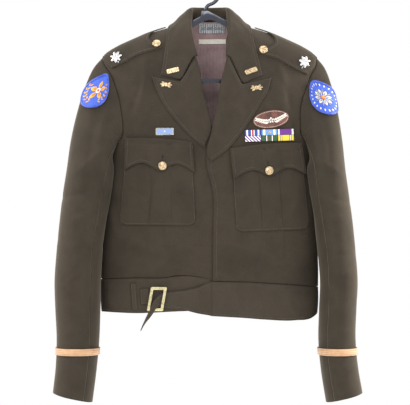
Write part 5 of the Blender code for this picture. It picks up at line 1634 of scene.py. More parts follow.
def ellipse(width, height, count=28, middle=(0, 0)):
    turns = np.linspace(0, 2 * math.pi, count, endpoint=False)
    return [(middle[0] + width / 2 * math.cos(t), middle[1] + height / 2 * math.sin(t)) for t in turns]


def petal(length, width, turn, reach=0.0, middle=(0, 0)):
    """A pointed petal that starts at reach from the middle and points the way of turn, in degrees."""
    a = math.radians(turn)
    points = []
    for t in np.linspace(0, 1, 8, endpoint=False):
        points.append((reach + length * t, width / 2 * math.sin(math.pi * t) ** 0.8))
    points += [(reach + length, 0)] + [(x, -y) for x, y in reversed(points[1:])]
    turned = [(x * math.cos(a) - y * math.sin(a), x * math.sin(a) + y * math.cos(a)) for x, y in points]
    return [(middle[0] + x, middle[1] + y) for x, y in turned]


EDGED = [(1.0, 0.7), (0.94, 1.0)]
print("a petal has", len(petal(10, 4, 0)), "points")

# %% [markdown]
# ## Stitches
# The thread of a lockstitch shows as short dashes sunk into the cloth, about eight to the inch on this
# weight of wool. Each dash is a small block set along a line at one distance from the edge, with the
# slight unevenness of a hand-guided machine. Buttonholes and bartacks are the same dashes set close.

# %% Stitch lines
STITCH_PITCH, STITCH_LENGTH, STITCH_WIDTH, STITCH_HEIGHT = 3.2, 2.3, 0.62, 0.34
stitch_dice = np.random.default_rng(7)


def inset_line(grid, edge, inset, sewn):
    """The line on a grid at one distance from an edge, stopping short of the other sewn edges."""
    flipped = {"start": grid, "end": grid[:, ::-1], "top": grid.swapaxes(0, 1), "foot": grid[::-1].swapaxes(0, 1)}[edge]
    run = lengths(flipped, 1)
    line = []
    for row, reach in zip(flipped, run):
        if reach[-1] > inset:
            line.append([np.interp(inset, reach, row[:, i]) for i in range(3)])
    line = np.array(line)
    along = np.concatenate([[0], np.cumsum(np.linalg.norm(np.diff(line, axis=0), axis=1))])
    low, high = ("top", "foot") if edge in ("start", "end") else ("start", "end")
    first = inset if low in sewn else 1.5
    last = along[-1] - (inset if high in sewn else 1.5)
    return line[(along >= first) & (along <= last)]


def stitch(bm, tree, line, pitch=STITCH_PITCH, length=STITCH_LENGTH, width=STITCH_WIDTH, height=STITCH_HEIGHT):
    """Sets dashes of thread along a line on the cloth."""
    line = np.array(line, float)
    along = np.concatenate([[0], np.cumsum(np.linalg.norm(np.diff(line, axis=0), axis=1))])
    for stop in np.arange(pitch / 2, along[-1], pitch):
        stop += stitch_dice.normal(0, pitch * 0.05)
        here = Vector([np.interp(stop, along, line[:, i]) for i in range(3)])
        ahead = Vector([np.interp(stop + 0.8, along, line[:, i]) for i in range(3)])
        behind = Vector([np.interp(stop - 0.8, along, line[:, i]) for i in range(3)])
        point, normal, _, _ = tree.find_nearest(here)
        forward = ahead - behind
        forward = (forward - normal * forward.dot(normal)).normalized()
        turn = Matrix((forward, normal.cross(forward), normal)).transposed().to_4x4()
        size = Matrix.Diagonal((length * MM, width * MM, height * MM, 1))
        place = Matrix.Translation((point + normal * height * 0.3) * MM) @ turn @ size
        bmesh.ops.create_cube(bm, size=1, matrix=place)


def flat_line(tree, points, start=-400.0):
    """A line drawn on the cloth through places seen from the front."""
    found = [front_of([tree], x, level, start) for x, level in points]
    return [hit[0] for hit in found if hit]


# %% Sewing the edges
seams = bmesh.new()
for name, (edges, inset) in SEWN_EDGES.items():
    for edge in edges:
        stitch(seams, SKINS[name], inset_line(GRIDS[name], edge, inset, edges))
FLY_LINE = [(2, -352), (4, -376), (11, -400), (14, -422), (13.5, -490), (13, -576)]
stitch(seams, SKINS["front_left"], flat_line(SKINS["front_left"], line_through(FLY_LINE, np.linspace(0, 1, 60))))
for side in (RIGHT, LEFT):
    name = f"shoulder_strap_{SIDE_NAME[side]}"
    grid = GRIDS[name]
    stitch(seams, SKINS[name], inset_line(grid, "start", 8.0, ("foot",)))
    corner = [
        grid[int(len(grid) * r), int((grid.shape[1] - 1) * c)] for r, c in ((0.10, 0.2), (0.24, 0.45), (0.10, 0.7))
    ]
    stitch(seams, SKINS[name], corner)
sewn_object = finished("edge_stitching", seams, THREAD, smooth=False)
print("stitches:", len(sewn_object.data.polygons) // 6)

# %% Buttonholes and bartacks
# Each buttonhole is a close bar of near-black dashes: its thread, with the shade of the slit painted onto it.
holes = bmesh.new()
for side, name, line in (
    (RIGHT, "pocket_flap_right", [(-88.4, -344), (-89.0, -356)]),
    (LEFT, "pocket_flap_left", [(110.0, -357), (109.8, -366)]),
    (RIGHT, "waist_band_right", [(-144.9, -588), (-141.6, -588)]),
):
    across = [(x + 0.2, level) for x, level in line]
    stitch(holes, SKINS[name], flat_line(SKINS[name], line_through(across, np.linspace(0, 1, 12))), 0.7, 1.4, 2.2, 0.5)
hole_object = finished("buttonhole_stitching", holes, DARK_HOLE, smooth=False)
print("buttonholes:", len(hole_object.data.polygons) // 6, "threads")


# %% [markdown]
# ## Buttons
# The buttons are domed brass shells, stamped and crimped over a back plate, so each has a rolled rim. A
# plain rosette is stamped on each. The profile is turned once round the button's own axis.

# %% Buttons
BUTTON_SECTION = [
    (0, 4.3), (2.0, 4.25), (4.2, 3.9), (5.9, 3.2), (6.6, 2.7), (6.9, 2.9), (7.5, 2.75), (8.0, 2.1), (8.1, 1.4),
    (7.8, 0.7), (7.2, 0.3), (0, 0.3),
]


def make_button(name, tree, place):
    """One domed button with a rosette, set flat on the cloth."""
    seat_matrix = seat([tree], place[0], place[1], PIN_OFF)
    bm = bmesh.new()
    verts = [bm.verts.new((x * MM, 0, z * MM)) for x, z in BUTTON_SECTION]
    edges = [bm.edges.new(pair) for pair in zip(verts, verts[1:])]
    bmesh.ops.spin(bm, geom=verts + edges, cent=(0, 0, 0), axis=(0, 0, 1), angle=2 * math.pi, steps=40, use_merge=True)
    bmesh.ops.remove_doubles(bm, verts=bm.verts, dist=2e-6)
    shell = set(bm.verts)
    for i in range(8):
        raised(bm, petal(3.6, 2.2, 45 * i, 1.3), [(0.95, 0.45), (0.55, 0.75)], 3.75, 0.1)
    raised(bm, ellipse(2.6, 2.6, 12), [(0.95, 0.5), (0.6, 0.8)], 4.1, 0.15)
    for vert in bm.verts:
        if vert not in shell:
            reach = math.hypot(vert.co.x, vert.co.y)
            vert.co = Vector((vert.co.x, vert.co.y, vert.co.z - 0.03 * reach**2)) * MM
        vert.co = seat_matrix @ vert.co
    bmesh.ops.recalc_face_normals(bm, faces=bm.faces)
    obj = finished(f"{name}_stamped", bm, BRASS)
    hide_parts(name)
    return obj


for side in (RIGHT, LEFT):
    name = SIDE_NAME[side]
    make_button(f"pocket_button_{name}", SKINS[f"pocket_flap_{name}"], FLAP_BUTTON[side])
    made = make_button(f"strap_button_{name}", SKINS[f"shoulder_strap_{name}"], STRAP_BUTTON[side])
print("faces in a button:", len(made.data.polygons))

# %% [markdown]
# ## Pins
# The collar pins are stamped brass bars and the lapel pins small brass sprigs, cut and raised from thin
# sheet. The shoulder leaves are bright silver, lobed and veined, with a short stem, and each is crowned
# so that it catches one highlight.

# %% Pins
LEAF_LOBES = 7
for side in (RIGHT, LEFT):
    name = SIDE_NAME[side]
    pin = COLLAR_PIN[side]
    place = seat([SKINS["collar"]], pin.across, pin.level, PIN_OFF, pin.tilt)
    shapes = [(rectangle(pin.width, pin.height, 2.4, 5), EDGED, 0, 0)]
    shapes += [(rectangle(pin.width - 3.4, pin.height - 3.4, 1.2, 4), [(0.97, 0.25)], 0.9, 0)]
    for x in np.linspace(-7.2, 7.2, 4):
        shapes.append((ellipse(3.0, 3.6, 12, (x, 0)), [(0.85, 0.5), (0.5, 0.75)], 1.1, 0.1))
    shape_object(f"collar_pin_{name}_stamped", shapes, on_seat(place), BRASS, f"collar_pin_{name}")
    pin = LAPEL_PIN[side]
    place = seat([SKINS[f"lapel_{name}"]], pin.across, pin.level, PIN_OFF, pin.tilt)
    shapes = [(ellipse(6.0, 9.0, 16), [(0.95, 0.9), (0.6, 1.5)], 0, 0.2)]
    for way in (0, 180):
        for turn, reach, length in ((0, 1.6, 10.8), (27, 1.4, 9.4), (-27, 1.4, 9.4)):
            shapes.append((petal(length, 3.9, way + turn, reach), [(0.96, 0.7), (0.5, 1.15)], 0, 0.1))
    shape_object(f"lapel_pin_{name}_stamped", shapes, on_seat(place), BRASS, f"lapel_pin_{name}")
    x, level = STRAP_LEAF[side]
    place = seat([SKINS[f"shoulder_strap_{name}"]], x, level, PIN_OFF, side * LEAF_TILT)
    shapes = [(lobed_leaf(LEAF_RADIUS), [(1.0, 0.8), (0.92, 1.3), (0.6, 1.9)], 0, 0.3)]
    shapes.append((petal(6.0, 2.4, -90, LEAF_RADIUS - 3.0), [(0.9, 0.9), (0.6, 1.3)], 0, 0.1))
    for i in range(LEAF_LOBES):
        shapes.append((petal(LEAF_RADIUS - 3.4, 1.0, 90 + 360 * i / LEAF_LOBES, 1.0), [(0.9, 0.55)], 1.5, 0))
    shape_object(f"leaf_pin_{name}_stamped", shapes, on_seat(place), SILVER, f"leaf_pin_{name}")
print("pins made:", 6)

# %% [markdown]
# ## Buckle
# The buckle is a bent wire frame of flat section, plated pale brass, with soft corners. It is cut as an
# outer outline with an inner one, raised, and its edges are bevelled, because a stamped frame has no
# sharp edge to catch the cloth.

# %% Buckle
BUCKLE_LIFT = 7.0
BUCKLE_THICK = 2.4


def make_buckle():
    place = seat([SKINS["waist_band_right"]], BUCKLE.across, BUCKLE.level, BUCKLE_LIFT)
    outer = leaning(rectangle(BUCKLE.width, BUCKLE.height, 2.4, 4), BUCKLE.tilt)
    hole = (BUCKLE.width - 2 * BUCKLE_BAR, BUCKLE.height - 2 * BUCKLE_BAR)
    inner = leaning(rectangle(*hole, 1.2, 4), BUCKLE.tilt)
    bm = bmesh.new()
    outer_verts = [bm.verts.new((x * MM, y * MM, 0)) for x, y in outer]
    inner_verts = [bm.verts.new((x * MM, y * MM, 0)) for x, y in inner]
    count = len(outer_verts)
    faces = []
    for i in range(count):
        j = (i + 1) % count
        faces.append(bm.faces.new((outer_verts[i], outer_verts[j], inner_verts[j], inner_verts[i])))
    made = bmesh.ops.extrude_face_region(bm, geom=faces)["geom"]
    bmesh.ops.translate(bm, verts=[g for g in made if isinstance(g, bmesh.types.BMVert)], vec=(0, 0, BUCKLE_THICK * MM))
    bm.normal_update()
    rims = [e for e in bm.edges if len(e.link_faces) == 2 and e.calc_face_angle(0) > 1.0]
    bmesh.ops.bevel(bm, geom=rims, offset=0.6 * MM, affect="EDGES", segments=3, profile=0.5, material=-1)
    bmesh.ops.transform(bm, matrix=place, verts=bm.verts)
    bmesh.ops.recalc_face_normals(bm, faces=bm.faces)
    obj = finished("waist_buckle_plated", bm, PALE_BRASS)
    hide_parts("waist_buckle")
    return obj


buckle = make_buckle()
print("buckle faces:", len(buckle.data.polygons))

# %% [markdown]
# ## Belt loop, keeper and snap
# The loop is a folded strip of the same wool, bartacked at both ends, and the keeper is a small patch
# that holds the buckle. A dark snap mark and a small eyelet show on the bands.

# %% Loop and keeper
band_right = SKINS["waist_band_right"]
loop_grid = plate_grid(LOOP, [band_right], CLEAR + LOOP_WALL, columns=6, rows=26)
dress(
    "belt_loop", [loop_grid], WOOL_LIGHTER, (LOOP.across, 400, LOOP.level), wall=LOOP_WALL,
)
keeper_grid = plate_grid(KEEPER, [band_right], CLEAR + KEEPER_WALL, columns=12, rows=18)
dress(
    "buckle_keeper", [keeper_grid], WOOL_LIGHTER, (KEEPER.across, 400, KEEPER.level), wall=KEEPER_WALL,
)
tacks = bmesh.new()
for name, grid in (("belt_loop", loop_grid), ("buckle_keeper", keeper_grid)):
    for edge in ("start", "end", "top", "foot"):
        stitch(tacks, SKINS[name], inset_line(grid, edge, 2.0, ("start", "end", "top", "foot")), 1.7, 1.3)
tack_object = finished("bartack_stitching", tacks, THREAD, smooth=False)
# The snap mark and the eyelet are rings with a sunken middle in the same near-black; in the eyelet that middle is
# painted shade in the hole.
for name, place, radius in (("snap_mark", (-195.2, -601.5), 2.6), ("band_eyelet", (14.6, -618.6), 1.4)):
    tree = band_right if name == "snap_mark" else SKINS["waist_band_left"]
    ring = [(ellipse(radius * 2, radius * 2, 20), [(0.9, 0.35), (0.62, 0.4), (0.5, -0.1)], 0.0, -0.1)]
    obj = shape_object(name, ring, on_face(tree, place), DARK_HOLE)
print("tacks:", len(tack_object.data.polygons) // 6)


# %% [markdown]
# ## Shoulder patches
# Each patch is a disc of blue twill with a merrowed rim, bent round the sleeve. One has a gold flower
# between two leaf sprays, and the other a pale rosette in a ring of leaves. They are drawn flat and
# carried onto the bent face, and satin stitch stands a little off the ground.

# %% Shoulder patches
def patch_axis(side):
    """The upright line that a shoulder patch bends round, as a point at the patch's own level."""
    x, level, turn = PATCH[side]
    return (x - side * math.sin(math.radians(turn)) * PATCH_BEND, PATCH_AXIS_Y, level)


def patch_grid(side, sleeve, steps=6):
    """A round shoulder patch, bent round the top sleeve."""
    turn = PATCH[side][2]
    axis_x, axis_y, level = patch_axis(side)
    rows = []
    for v in np.linspace(-1, 1, steps + 1):
        row = []
        for u in np.linspace(-1, 1, steps + 1):
            across = u * math.sqrt(1 - v * v / 2) * PATCH_WIDTH / 2
            up = v * math.sqrt(1 - u * u / 2) * PATCH_WIDTH / 2
            angle = math.radians(turn) + across / PATCH_BEND
            out = Vector((side * math.sin(angle), -math.cos(angle), 0))
            origin = Vector((axis_x, axis_y, level + up))
            upright = Vector((0, 0, 1))
            beside = out.cross(upright)
            far = []
            for shift in (upright * 0, upright * 4, upright * -4, beside * 4, beside * -4):
                hit = sleeve.ray_cast(origin + shift + out * 150, -out)
                if hit[0]:
                    far.append((hit[0] - origin).dot(out))
            row.append(np.array(origin + out * (max(far) + CLEAR + PATCH_WALL)))
        rows.append(row)
    return np.array(rows)


FLAT_SILK = [(0.97, 0.35), (0.7, 0.6)]


def on_patch(side, tree):
    """A rule that carries a flat place and height onto a bent patch."""
    axis, turn = Vector(patch_axis(side)), math.radians(PATCH[side][2])

    def carry(x, y, z):
        angle = turn + side * x / PATCH_BEND
        out = Vector((side * math.sin(angle), -math.cos(angle), 0))
        origin = axis + Vector((0, 0, y))
        hit = tree.ray_cast(origin + out * 150, -out)
        point, normal = hit[:2] if hit[0] else tree.find_nearest(origin + out * PATCH_BEND)[:2]
        return (point + normal * z) * MM

    return carry


def ring_of(count, reach, length, width, first=90.0):
    """Petals set evenly round a middle."""
    return [petal(length, width, first + 360 * i / count, reach) for i in range(count)]


def embroider(name, carry, parts):
    """Adds one object for each colour of silk."""
    for colour, (material, outlines, lift) in parts.items():
        shapes = [(outline, FLAT_SILK, lift, 0.05) for outline in outlines]
        shape_object(f"{name}_{colour}", shapes, carry, material, smooth=True)


def spray(way, base, leaves, reach, length):
    """A curved sprig: leaves set in pairs along an arc that opens to one side."""
    outlines = []
    for i in range(leaves):
        t = (i + 0.5) / leaves
        angle = math.radians(-80 + 105 * t)
        x, y = way * reach * math.cos(angle), reach * math.sin(angle) + base
        heading = math.degrees(angle) + 90
        for lean in (38, -38):
            turn = heading + lean if way > 0 else 180 - heading - lean
            outlines.append(petal(length, length * 0.42, turn, 0.4, (x, y)))
    return outlines


patch_rims = bmesh.new()
for side in (RIGHT, LEFT):
    name = f"shoulder_patch_{SIDE_NAME[side]}"
    grid = patch_grid(side, sleeve_skins[side], steps=24)
    tree = dress(name, [grid], PATCH_BLUE, patch_axis(side), "patch_twill", PATCH_WALL)
    carry = on_patch(side, tree)
    rim = [carry(*place, 0) / MM for place in ellipse(PATCH_WIDTH - 3.4, PATCH_WIDTH - 3.4, 90)]
    stitch(patch_rims, tree, rim + rim[:1], 1.15, 0.95, 3.4, 1.3)
    if side == RIGHT:
        embroider(name, carry, {
            "gold": (
                SILK_GOLD, ring_of(5, 3.5, 15.5, 9.0) + spray(1, 2, 6, 23.5, 6.4) + spray(-1, 2, 6, 23.5, 6.4), 0.0
            ),
            "orange": (SILK_ORANGE, ring_of(5, 4.5, 9.0, 3.2), 0.45),
            "white": (SILK_WHITE, [ellipse(10.5, 10.5, 20)], 0.5),
            "red": (SILK_RED, [ellipse(5.0, 5.0, 14)], 0.95),
        })
    else:
        embroider(name, carry, {
            "white": (SILK_WHITE, ring_of(22, 22.5, 5.6, 2.6) + ring_of(8, 4.0, 12.0, 5.4), 0.0),
            "grey": (SILK_GREY, ring_of(8, 5.0, 7.0, 2.2) + ring_of(8, 7.0, 11.0, 2.6, 112.5), 0.4),
            "orange": (SILK_ORANGE, [ellipse(8.4, 8.4, 18)], 0.55),
            "gold": (SILK_GOLD, [ellipse(3.6, 3.6, 12)], 1.0),
        })
rim_object = finished("shoulder_patch_rims", patch_rims, SILK_BLUE, smooth=False)
print("patch cuts:", CUTS["shoulder_patch_left"], "rim stitches:", len(rim_object.data.polygons) // 6)

# %% [markdown]
# ## Leather badge
# An oval of brown leather is sewn to the chest with white thread, and a pair of leaf sprays round a small
# flower is worked on it in white.

# %% Leather badge
chest = SKINS["front_left"]
badge_grid = plate_grid(BADGE, [chest], CLEAR + BADGE_WALL + SEAM, columns=34, rows=18, oval=True)
badge_skin = dress(
    "leather_badge", [badge_grid], LEATHER, (BADGE.across, 400, BADGE.level), "leather", BADGE_WALL,
)
badge_carry = on_face(badge_skin, (BADGE.across, BADGE.level), BADGE.tilt)
rim = [badge_carry(*place, 0) / MM for place in ellipse(BADGE.width - 4.4, BADGE.height - 4.4, 70)]
badge_thread = bmesh.new()
stitch(badge_thread, badge_skin, rim + rim[:1], 3.0, 1.9, 0.6, 0.45)
thread_object = finished("leather_badge_thread", badge_thread, SILK_WHITE, smooth=False)
sprays = []
for way in (1, -1):
    for i in range(6):
        t = i / 5
        x, y = way * (4.5 + 20.0 * t), -4.5 + 7.5 * t**1.3
        for lean in (32, -34):
            turn = 14 + lean * (1 - 0.25 * t)
            sprays.append(petal(8.2 - 1.6 * t, 3.0, turn if way > 0 else 180 - turn, 0.3, (x, y)))
flower = [petal(5.0, 3.4, 90 + 72 * i, 1.0, (0, -2)) for i in range(5)]
embroider("leather_badge", badge_carry, {
    "leaves": (SILK_WHITE, sprays + flower, 0.05),
    "middle": (SILK_GREY, [ellipse(3.4, 3.4, 12, (0, -2))], 0.5),
})
print("badge cut:", CUTS["leather_badge"])

# %% [markdown]
# ## Ribbon bar and citation bar
# The bar carries six ribbons in two rows, each a ribbed silk band with its own stripes across. The
# stripes are read from the ribbon's own length map, in millimetres. The small bar on the other side is
# a strip of pale blue in a metal frame, with a plain star.

# %% Ribbons
RIBBON_WIDTH, RIBBON_HEIGHT = 29.8, 10.7


def striped_ribbon(name, stripes, slant=0.0, repeat=RIBBON_WIDTH):
    """A ribbed ribbon. Each stripe is given by where it starts, in mm, and its colour."""
    material, shader = new_material(name, stripes[0][1], 0.62, Sheen_Weight=0.15)
    place = add_node(material, "TexCoord")
    turned_uv = add_node(
        material, "Mapping", {"Rotation": (0, 0, math.radians(slant))}, {"Vector": place.outputs["UV"]}
    )
    parts = add_node(material, "SeparateXYZ", links={0: turned_uv.outputs[0]})
    share = add_node(material, "Math", {"operation": "MULTIPLY", 1: 1000 / repeat}, {0: parts.outputs[0]})
    wrapped = add_node(material, "Math", {"operation": "FRACT"}, {0: share.outputs[0]})
    tone = ramp(material, wrapped.outputs[0], [(mm / repeat, colour) for mm, colour in stripes], "CONSTANT")
    tint(material, shader, tone.outputs["Color"])
    ribs = add_node(
        material, "TexWave", {"Scale": 1000 / 1.2 / WAVE_TURN, "bands_direction": "Y"},
        {"Vector": place.outputs["UV"]}
    )
    emboss(material, shader, ribs.outputs["Fac"], 0.3, 0.3)
    return material


BLUE, WHITE, RED, CREAM, PURPLE, GREEN, BLACK, YELLOW = (
    "2C4A9C", "F2F0EA", "B4262C", "EFE3C0", "6B2A8C", "2C5434", "1B1B1B", "EFD23C")
RIBBON_STRIPES = [
    striped_ribbon("ribbon_blue_red_middle", [
        (0, BLUE), (2.6, WHITE), (5.6, BLUE), (11.6, WHITE), (13.2, RED), (16.6, WHITE), (18.2, BLUE), (24.2, WHITE),
        (27.2, BLUE)]),
    striped_ribbon("ribbon_sky_cream", [(0, "6E9AD2"), (3.0, CREAM), (7.0, "6E9AD2"), (22.8, CREAM), (26.8, "6E9AD2")]),
    striped_ribbon("ribbon_purple_white_edge", [(0, WHITE), (2.8, PURPLE), (27.0, WHITE)]),
    striped_ribbon("ribbon_purple_white_slanted", [(0, PURPLE), (2.2, WHITE)], -45.0, 4.4),
    striped_ribbon("ribbon_green_thin_lines", [
        (0, GREEN), (7.0, BLACK), (8.6, WHITE), (10.2, RED), (11.8, GREEN), (18.0, RED), (19.6, WHITE), (21.2, BLACK),
        (22.8, GREEN)]),
    striped_ribbon("ribbon_yellow_thin_lines", [
        (0, YELLOW), (3.6, GREEN), (5.0, WHITE), (6.4, RED), (7.8, YELLOW), (22.0, RED), (23.4, WHITE), (24.8, GREEN),
        (26.2, YELLOW)]),
]
tilt = math.radians(RIBBONS.tilt)
for i, ribbon_material in enumerate(RIBBON_STRIPES):
    x, y = (i % 3 - 1) * 31.4, (0.5 - i // 3) * 11.2
    place = Plate(
        RIBBONS.across + x * math.cos(tilt) - y * math.sin(tilt),
        RIBBONS.level + x * math.sin(tilt) + y * math.cos(tilt), RIBBON_WIDTH, RIBBON_HEIGHT, RIBBONS.tilt)
    grid = plate_grid(place, [chest], CLEAR + BAR_WALL + SEAM, columns=20, rows=10)
    bulge = 0.35 * np.sin(np.linspace(0.15, math.pi - 0.15, grid.shape[0]))
    grid[..., 1] -= bulge[:, None]
    dress(
        "ribbon_bar", [grid], ribbon_material, (place.across, 400, place.level), "ribbon", BAR_WALL,
        f"ribbon_{i + 1}")
small_leaf = on_face(SKINS["ribbon_2"], (RIBBONS.across, RIBBONS.level + 5.6), RIBBONS.tilt)
shapes = [(petal(4.4, 2.2, turn, 0.3, (0, -1.6)), FLAT_SILK, 0, 0.1) for turn in (90, 42, 138)]
shape_object("ribbon_leaf_device", shapes, small_leaf, BRASS)
print("ribbon cut:", CUTS["ribbon_1"])

# %% Citation bar
bar_place = seat([SKINS["front_right"]], CITATION.across, CITATION.level, SEAM + 0.2, CITATION.tilt)
frame_shape = [
    (rectangle(CITATION.width, CITATION.height, 1.6, 4), [(1.0, 1.0), (0.97, 1.5), (0.9, 1.5), (0.88, 1.2)], 0, 0)
]
shape_object("citation_bar_frame", frame_shape, on_seat(bar_place), PALE_BRASS, "citation_bar")
field = [(rectangle(CITATION.width - 3.4, CITATION.height - 2.8), [(0.99, 0.4)], 1.2, 0)]
shape_object("citation_bar_field", field, on_seat(bar_place), ENAMEL)
STAR_TIP, STAR_NOTCH = 3.0, 1.2
star = []
for i in range(10):
    reach, turn = (STAR_NOTCH if i % 2 else STAR_TIP), math.radians(90 + 36 * i)
    star.append((reach * math.cos(turn), reach * math.sin(turn)))
shape_object("citation_bar_star", [(star, [(0.9, 0.45)], 1.6, 0.2)], on_seat(bar_place), SILVER)
print("citation bar is", CITATION.width, "by", CITATION.height, "mm")

# %% [markdown]
# ## Label and name tape
# A woven satin label is sewn inside the neck above a plain cream tape. The label has a row of leaves in
# pale thread, and each is held down by a row of stitches.

# %% Label and tape
label_threads = bmesh.new()
for node, plate, material, slot in (
    ("neck_label", LABEL, LABEL_SATIN, "label_satin"), ("name_tape", NAME_TAPE, TAPE_COTTON, "cotton_tape")):
    grid = plate_grid(plate, [lining_skin], CLEAR + LABEL_WALL, columns=36, rows=14, start=0.0)
    tree = dress(node, [grid], material, (plate.across, 400, plate.level), slot, LABEL_WALL)
    for edge in ("start", "end", "top", "foot"):
        line = inset_line(grid, edge, 1.2, ("start", "end", "top", "foot"))
        stitch(label_threads, tree, line, 1.9, 1.3, 0.5, 0.3)
    if node == "neck_label":
        carry = on_face(tree, (plate.across, plate.level), 0, 0.0)
        leaves = [petal(5.2, 2.4, turn, 0.3, (x, 0)) for x in np.linspace(-17, 17, 6) for turn in (35, 145, -35, -145)]
        embroider("neck_label", carry, {"border": (SILK_GREY, leaves, 0.0)})
label_object = finished("label_stitching", label_threads, SILK_WHITE, smooth=False)
print("label:", CUTS["neck_label"], "tape:", CUTS["name_tape"])


# %% [markdown]
# ## Hanger
# The hanger is one moulding: two arms that follow the shoulders, a web at the neck, a straight bar below
# and a round hook on a leaning stem. Injection moulding leaves soft edges, so the flat frame is cut from
# two outlines, raised, and bevelled all round, and the hook is a round bar with a rounded tip.

# %% Hanger frame
def arm_top(x):
    """The level of the hanger's upper edge, just under the shoulder line."""
    neck = 41
    if abs(x) >= neck:
        return ridge(x) - ARM_DROP
    return -67.5 + (ridge(neck) - ARM_DROP + 67.5) * abs(x) / neck


def hanger_outlines():
    """The frame's outer edge and the edge of its opening."""
    xs = np.concatenate([np.linspace(-HANGER_REACH, -16, 40), [-15, -3], np.linspace(8, HANGER_REACH, 40)])
    outer = [(x, HOOK_FOOT[1] - SEAM if x in (-15, -3) else arm_top(x)) for x in xs]
    end_level, bend = arm_top(HANGER_REACH), 12
    corner = []
    for a in np.radians(np.linspace(80, -90, 13)):
        if a > 0:
            corner.append((HANGER_REACH + bend * math.cos(a) * 0.6, end_level - bend + bend * math.sin(a)))
        else:
            corner.append((HANGER_REACH - 6 + bend * math.cos(a), BAR_FOOT + bend + bend * math.sin(a)))
    outer += corner + [(-x, z) for x, z in reversed(corner)]
    reach = HANGER_REACH - 14
    inner = [(x, min(arm_top(x) - ARM_HEIGHT, WEB_FOOT)) for x in np.linspace(-reach, reach, 45)]
    inner += [(HANGER_REACH - 10, BAR_TOP + 10), (HANGER_REACH - 18, BAR_TOP)]
    inner += [(-(HANGER_REACH - 18), BAR_TOP), (-(HANGER_REACH - 10), BAR_TOP + 10)]
    return outer, inner


def make_frame():
    bm = bmesh.new()
    edges = []
    for outline in hanger_outlines():
        verts = [bm.verts.new((x * MM, -HANGER_THICK / 2 * MM, z * MM)) for x, z in outline]
        edges += [bm.edges.new((a, b)) for a, b in zip(verts, verts[1:] + verts[:1])]
    bmesh.ops.triangle_fill(bm, use_beauty=True, use_dissolve=False, edges=edges)
    made = bmesh.ops.extrude_face_region(bm, geom=list(bm.faces))["geom"]
    bmesh.ops.translate(bm, verts=[g for g in made if isinstance(g, bmesh.types.BMVert)], vec=(0, HANGER_THICK * MM, 0))
    bm.normal_update()
    rims = [e for e in bm.edges if len(e.link_faces) == 2 and e.calc_face_angle(0) > 1.2]
    bmesh.ops.bevel(
        bm, geom=rims, offset=1.3 * MM, affect="EDGES", segments=3, profile=0.5, material=-1, clamp_overlap=True
    )
    bmesh.ops.recalc_face_normals(bm, faces=bm.faces)
    obj = finished("hanger_frame_moulded", bm, PLASTIC)
    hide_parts("hanger_frame")
    return obj


hanger_object = make_frame()
print("hanger frame faces:", len(hanger_object.data.polygons))

# %% Hanger hook
def make_hook():
    """A round bar swept along the hook's line, with a rounded tip."""
    centre_z = -(HOOK_RADIUS - HOOK_WIRE)
    arc = [
        (HOOK_RADIUS * math.cos(a), centre_z + HOOK_RADIUS * math.sin(a)) for a in np.radians(np.linspace(205, -38, 40))
    ]
    stem = line_through([arc[-1], (9, -50), (-4, -57), HOOK_FOOT], np.linspace(0, 1, 16))
    route = arc + [tuple(p) for p in stem[1:]]
    sides = 20
    bm = bmesh.new()
    rings = []
    for i, (x, z) in enumerate(route):
        before, after = np.array(route[max(i - 1, 0)]), np.array(route[min(i + 1, len(route) - 1)])
        along = (after - before) / np.linalg.norm(after - before)
        across = np.array([-along[1], along[0]])
        ring = []
        for k in range(sides):
            a = 2 * math.pi * k / sides
            wide = HOOK_WIRE * math.cos(a)
            place = Vector((x + across[0] * wide, HOOK_WIRE * math.sin(a), z + across[1] * wide))
            ring.append(bm.verts.new(place * MM))
        rings.append(ring)
    for one, two in zip(rings, rings[1:]):
        for k in range(sides):
            bm.faces.new((one[k], one[(k + 1) % sides], two[(k + 1) % sides], two[k]))
    tip = bm.faces.new(rings[0])
    bm.faces.new(rings[-1])
    bm.normal_update()
    bmesh.ops.bevel(bm, geom=list(tip.edges), offset=1.5 * MM, affect="EDGES", segments=4, profile=0.5, material=-1)
    bmesh.ops.recalc_face_normals(bm, faces=bm.faces)
    obj = finished("hanger_hook_moulded", bm, PLASTIC)
    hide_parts("hanger_hook")
    return obj


hook_object = make_hook()
print("hook faces:", len(hook_object.data.polygons))


# %% [markdown]
# ## Floor, light and camera
# The photograph shows the jacket on plain white, lit softly from the front and both sides, with paler
# light along the shoulders. A pale floor and a white sky stand in for it. The camera looks straight on
# from 4.5 m, which gives the flat view of a long lens.

# %% Stage
PHOTO_CENTRE = (-0.00855, -0.4342)
PHOTO_WIDTH, CAMERA_DISTANCE, SENSOR_WIDTH = 0.779, 4.5, 36.0


def plane(name, corners, material):
    mesh = bpy.data.meshes.new(name)
    mesh.from_pydata(corners, [], [(0, 1, 2, 3)])
    mesh.materials.append(material)
    obj = bpy.data.objects.new(name, mesh)
    bpy.context.scene.collection.objects.link(obj)
    return obj


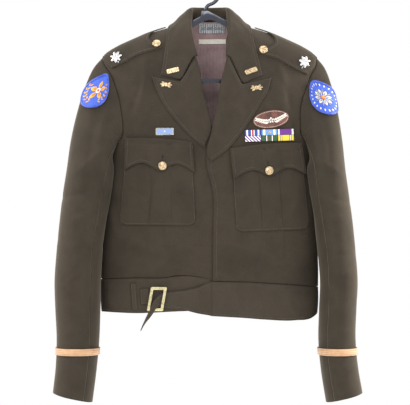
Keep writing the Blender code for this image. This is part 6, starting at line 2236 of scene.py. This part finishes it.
def area_light(name, place, aim, size, power, colour=(1, 1, 1)):
    light = bpy.data.lights.new(name, "AREA")
    light.shape = "RECTANGLE"
    light.size, light.size_y = size
    light.energy = power
    light.color = colour
    obj = bpy.data.objects.new(name, light)
    bpy.context.scene.collection.objects.link(obj)
    obj.location = place
    obj.rotation_mode = "QUATERNION"
    obj.rotation_quaternion = (Vector(aim) - Vector(place)).to_track_quat("-Z", "Y")
    return obj


paper = new_material("pale_studio_floor", "F4F4F4", 0.9)[0]
plane("floor", [(-2.4, -2.4, -1.15), (2.4, -2.4, -1.15), (2.4, 2.4, -1.15), (-2.4, 2.4, -1.15)], paper)
area_light("key", (-1.1, -2.6, 0.9), (0, 0, -0.4), (1.4, 1.4), 20)
area_light("fill", (1.7, -2.4, 0.2), (0, 0, -0.45), (1.4, 1.6), 10)
area_light("rim_left", (-1.7, 0.1, 0.3), (-0.2, 0, -0.5), (0.5, 1.4), 22, (1.0, 0.93, 0.80))
area_light("rim_right", (1.6, 0.2, 0.1), (0.2, 0, -0.5), (0.5, 1.4), 34, (1.0, 0.93, 0.80))
area_light("neck", (0, -1.1, 0.35), (0, 0.05, -0.12), (0.3, 0.3), 1.6)
area_light("top", (0, 0.1, 1.2), (0, 0, -0.2), (1.2, 0.6), 10)
world = bpy.data.worlds.new("white_studio")
bpy.context.scene.world = world
world.use_nodes = True
world.node_tree.nodes["Background"].inputs["Color"].default_value = (1, 1, 1, 1)
world.node_tree.nodes["Background"].inputs["Strength"].default_value = 1.0
camera_data = bpy.data.cameras.new("straight_on")
camera_data.sensor_width = SENSOR_WIDTH
camera_data.lens = SENSOR_WIDTH * CAMERA_DISTANCE / PHOTO_WIDTH
camera_data.clip_end = 50
camera = bpy.data.objects.new("straight_on", camera_data)
camera.location = (PHOTO_CENTRE[0], -CAMERA_DISTANCE - 0.05, PHOTO_CENTRE[1])
camera.rotation_euler = (math.radians(90), 0, 0)
bpy.context.scene.collection.objects.link(camera)
bpy.context.scene.camera = camera
bpy.context.scene.view_settings.view_transform = "Standard"
print("lens:", round(camera_data.lens, 1), "mm")
